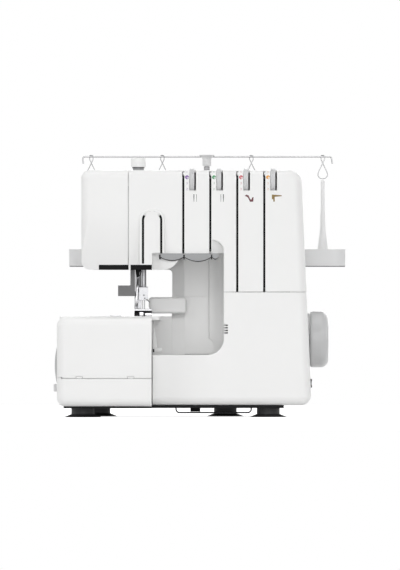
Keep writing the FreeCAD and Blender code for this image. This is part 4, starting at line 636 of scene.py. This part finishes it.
for number, ink_colour in enumerate(thread_inks, start=1):
    dial_low, dial_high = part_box("tension_dial_" + str(number))
    dial_x = (dial_low.x + dial_high.x) / 2
    label = "dial_" + str(number)
    ink = moulded_plastic("thread_ink_" + str(number), ink_colour, 0.5, 0.0003, 0.00001)
    pale = [0.55 * part + 0.25 for part in ink_colour]
    pale_ink = moulded_plastic("pale_ink_" + str(number), pale, 0.5, 0.0003, 0.00001)
    for figure, rise in figure_rises.items():
        printed(label + "_figure_" + figure, figure_mesh(figure, 0.0026), dial_x + figure_offset, rise, pale_ink)
    ring = [(spot_radius * math.cos(step * math.tau / spot_steps), spot_radius * math.sin(step * math.tau / spot_steps))
            for step in range(spot_steps)]
    printed(label + "_spot", patch_mesh(ring), dial_x + figure_offset, spot_rise, ink)
    printed(label + "_figure_4", figure_mesh("4", 0.002), dial_x + figure_offset, spot_rise, white_ink, 0.00009)
    sign_ink = moulded_plastic("sign_ink_" + str(number), sign_inks[number - 1], 0.5, 0.0003, 0.00001)
    for piece, shape in enumerate(sign_shapes[number - 1], start=1):
        printed("thread_sign_" + str(number) + "_" + str(piece),
                patch_mesh([(x / 1000, y / 1000) for x, y in shape]), dial_x + sign_offset, sign_rise, sign_ink)

# Side controls: stitch length dial of mid grey plastic and a paler differential feed lever.
# Both turn on pins in the left side of the bed.
dress(grey_moulding, "stitch_length_dial")
light_grey = moulded_plastic("light_grey", (0.74, 0.742, 0.745), 0.36, 0.0006, 0.00003)
dress(light_grey, "differential_lever")

# Handwheel: a thick grey moulding on the end of the main shaft.
# It turns against a boss of the same grey on the sloping side of the tower.
wheel_grey = moulded_plastic("wheel_grey", (0.58, 0.582, 0.585), 0.36, 0.0006, 0.00003)
dress(wheel_grey, "handwheel")
wheel_y = 15.0
wheel_z = 87.7
boss_section = ((118.0, 14.0), (124.6, 14.0), (124.6, 29.0), (124.2, 29.6), (118.0, 29.6))
boss_steps = 72
boss_rings = [[(x / 1000, (wheel_y + radius * math.cos(step * math.tau / boss_steps)) / 1000,
                (wheel_z + radius * math.sin(step * math.tau / boss_steps)) / 1000) for x, radius in boss_section]
              for step in range(boss_steps)]
moulded_form("handwheel_boss", boss_rings, "machine", wheel_grey, closed=True)

# Power inlet and switch: a black rocker in a black socket housing on the tower's right side.
# Both are moulded plastic, snapped into the cover.
dress(black_moulding_and_shade, "power_switch", "power_socket")

# Spool stand: light grey tray with four tapered pins, hooked on behind the body.
# A dark plate under the tray is painted shade along its lower edge.
dress(light_grey, "spool_tray")
pin_white = moulded_plastic("pin_white", (0.87, 0.87, 0.87), 0.36, 0.0006, 0.00003)
dress(pin_white, "spool_pins")
tray_low, tray_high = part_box("spool_tray")
# Outline of the dark plate under the tray, painted shade along its lower edge.
tray_corner = 0.010
tray_inset = 0.0004
shade_plan = []
for corner_x, corner_y, start in ((tray_high.x, tray_low.y, -90), (tray_high.x, tray_high.y, 0),
                                  (tray_low.x, tray_high.y, 90), (tray_low.x, tray_low.y, 180)):
    inward = tray_corner + tray_inset
    centre_x = corner_x - inward if corner_x > 0 else corner_x + inward
    centre_y = tray_high.y - inward if corner_y == tray_high.y else tray_low.y + inward
    for step in range(5):
        turn = math.radians(start + step * 22.5)
        shade_plan.append((centre_x + tray_corner * math.cos(turn), centre_y + tray_corner * math.sin(turn)))
# Dark plate under the tray: painted shade along the tray's underside edge.
tray_shade_plate = moulded_plastic("tray_shade_plate", (0.10, 0.10, 0.102), 0.5, 0.0005, 0.00005)
moulded_form("tray_shade_sole", [[(x, y, z) for x, y in shade_plan] for z in (tray_low.z - 0.0009, tray_low.z + 0.0001)],
             "machine", tray_shade_plate)

# Telescopic antenna: a grey tube, a darker ribbed middle stage and a funnel-shaped head.
# A bent wire bar lies through the head and carries four wire hangers for the threads.
dress(light_grey, "antenna_tube", "antenna_top")
dress(worked_metal("pole_steel", (0.3, 0.3, 0.305), 0.4, (300, 300, 2400), 0.00003), "antenna_middle")
dress(worked_metal("guide_wire", (0.4, 0.4, 0.405), 0.35, (300, 300, 300), 0.00001),
      "thread_guide_bar", "thread_hangers")

# Stage: a white floor, soft studio light from all sides and a distant camera.
# The camera is level with the machine's middle, so that the front is seen straight on.
floor_radius = 1.8
floor_sides = 96
floor_mesh = bpy.data.meshes.new("floor")
floor_rim = [(floor_radius * math.cos(step * math.tau / floor_sides),
              floor_radius * math.sin(step * math.tau / floor_sides), 0) for step in range(floor_sides)]
floor_mesh.from_pydata(floor_rim, [], [list(range(floor_sides))])
floor = bpy.data.objects.new("floor", floor_mesh)
floor.location.z = -0.0003
bpy.context.scene.collection.objects.link(floor)


def seen_straight(tree):
    """1 for rays that show the background to the camera, in gloss or through glass."""
    path = tree.nodes.new("ShaderNodeLightPath")
    gloss = tree.nodes.new("ShaderNodeMath")
    gloss.operation = "MAXIMUM"
    clear = tree.nodes.new("ShaderNodeMath")
    clear.operation = "MAXIMUM"
    tree.links.new(path.outputs["Is Camera Ray"], gloss.inputs[0])
    tree.links.new(path.outputs["Is Glossy Ray"], gloss.inputs[1])
    tree.links.new(gloss.outputs["Value"], clear.inputs[0])
    tree.links.new(path.outputs["Is Transmission Ray"], clear.inputs[1])
    return clear.outputs["Value"]


floor_paint = bpy.data.materials.new("floor_paint")
floor_paint.use_nodes = True
floor_tree = floor_paint.node_tree
floor_tree.nodes.clear()
floor_matt = floor_tree.nodes.new("ShaderNodeBsdfDiffuse")
floor_matt.inputs["Color"].default_value = (0.8, 0.8, 0.8, 1)
floor_glow = floor_tree.nodes.new("ShaderNodeEmission")
floor_lift = floor_tree.nodes.new("ShaderNodeMath")
floor_lift.operation = "MULTIPLY"
floor_lift.inputs[1].default_value = 0.78
floor_sum = floor_tree.nodes.new("ShaderNodeAddShader")
floor_out = floor_tree.nodes.new("ShaderNodeOutputMaterial")
floor_tree.links.new(seen_straight(floor_tree), floor_lift.inputs[0])
floor_tree.links.new(floor_lift.outputs["Value"], floor_glow.inputs["Strength"])
floor_tree.links.new(floor_matt.outputs["BSDF"], floor_sum.inputs[0])
floor_tree.links.new(floor_glow.outputs["Emission"], floor_sum.inputs[1])
floor_tree.links.new(floor_sum.outputs["Shader"], floor_out.inputs["Surface"])
floor_mesh.materials.append(floor_paint)

room = bpy.data.worlds.new("room")
bpy.context.scene.world = room
room.use_nodes = True
room_tree = room.node_tree
room_light = room_tree.nodes["Background"]
room_level = room_tree.nodes.new("ShaderNodeMapRange")
room_level.inputs["To Min"].default_value = 0.22
room_level.inputs["To Max"].default_value = 1.0
room_light.inputs["Color"].default_value = (1, 1, 1, 1)
room_tree.links.new(seen_straight(room_tree), room_level.inputs["Value"])
room_tree.links.new(room_level.outputs["Result"], room_light.inputs["Strength"])


def studio_lamp(name, place, target, size, watts):
    """Square soft box that faces a point."""
    lamp = bpy.data.lights.new(name, "AREA")
    lamp.size = size
    lamp.energy = watts
    holder = bpy.data.objects.new(name, lamp)
    holder.location = place
    holder.rotation_euler = (Vector(target) - Vector(place)).to_track_quat("-Z", "Y").to_euler()
    bpy.context.scene.collection.objects.link(holder)


machine_middle = (0, 0, 0.15)
studio_lamp("left", (-2.5, -2.1, 1.4), machine_middle, 1.6, 22)
studio_lamp("front", (0.0, -3.3, 0.9), machine_middle, 2.0, 38)
studio_lamp("right", (2.3, -2.4, 1.2), machine_middle, 1.6, 16)
studio_lamp("top", (0, -0.4, 2.8), machine_middle, 1.6, 22)
studio_lamp("left_side", (-3.2, 0.7, 1.0), machine_middle, 1.6, 15)
studio_lamp("right_side", (3.2, 0.7, 1.0), machine_middle, 1.6, 15)
studio_lamp("back", (0.4, 3.2, 1.0), machine_middle, 2.0, 38)

photo_height = 570
metres_per_pixel = 0.00113
camera_distance = 20.0
front_plane_y = -0.105
camera = bpy.data.cameras.new("camera")
camera.sensor_fit = "VERTICAL"
camera.sensor_height = 36
camera.lens = camera.sensor_height * camera_distance / (photo_height * metres_per_pixel)
camera.clip_end = 100
camera_holder = bpy.data.objects.new("camera", camera)
camera_holder.location = (0.00017, front_plane_y - camera_distance, 0.1493)
camera_holder.rotation_euler = (math.radians(90), 0, 0)
bpy.context.scene.collection.objects.link(camera_holder)
bpy.context.scene.camera = camera_holder
bpy.context.scene.view_settings.view_transform = "Standard"
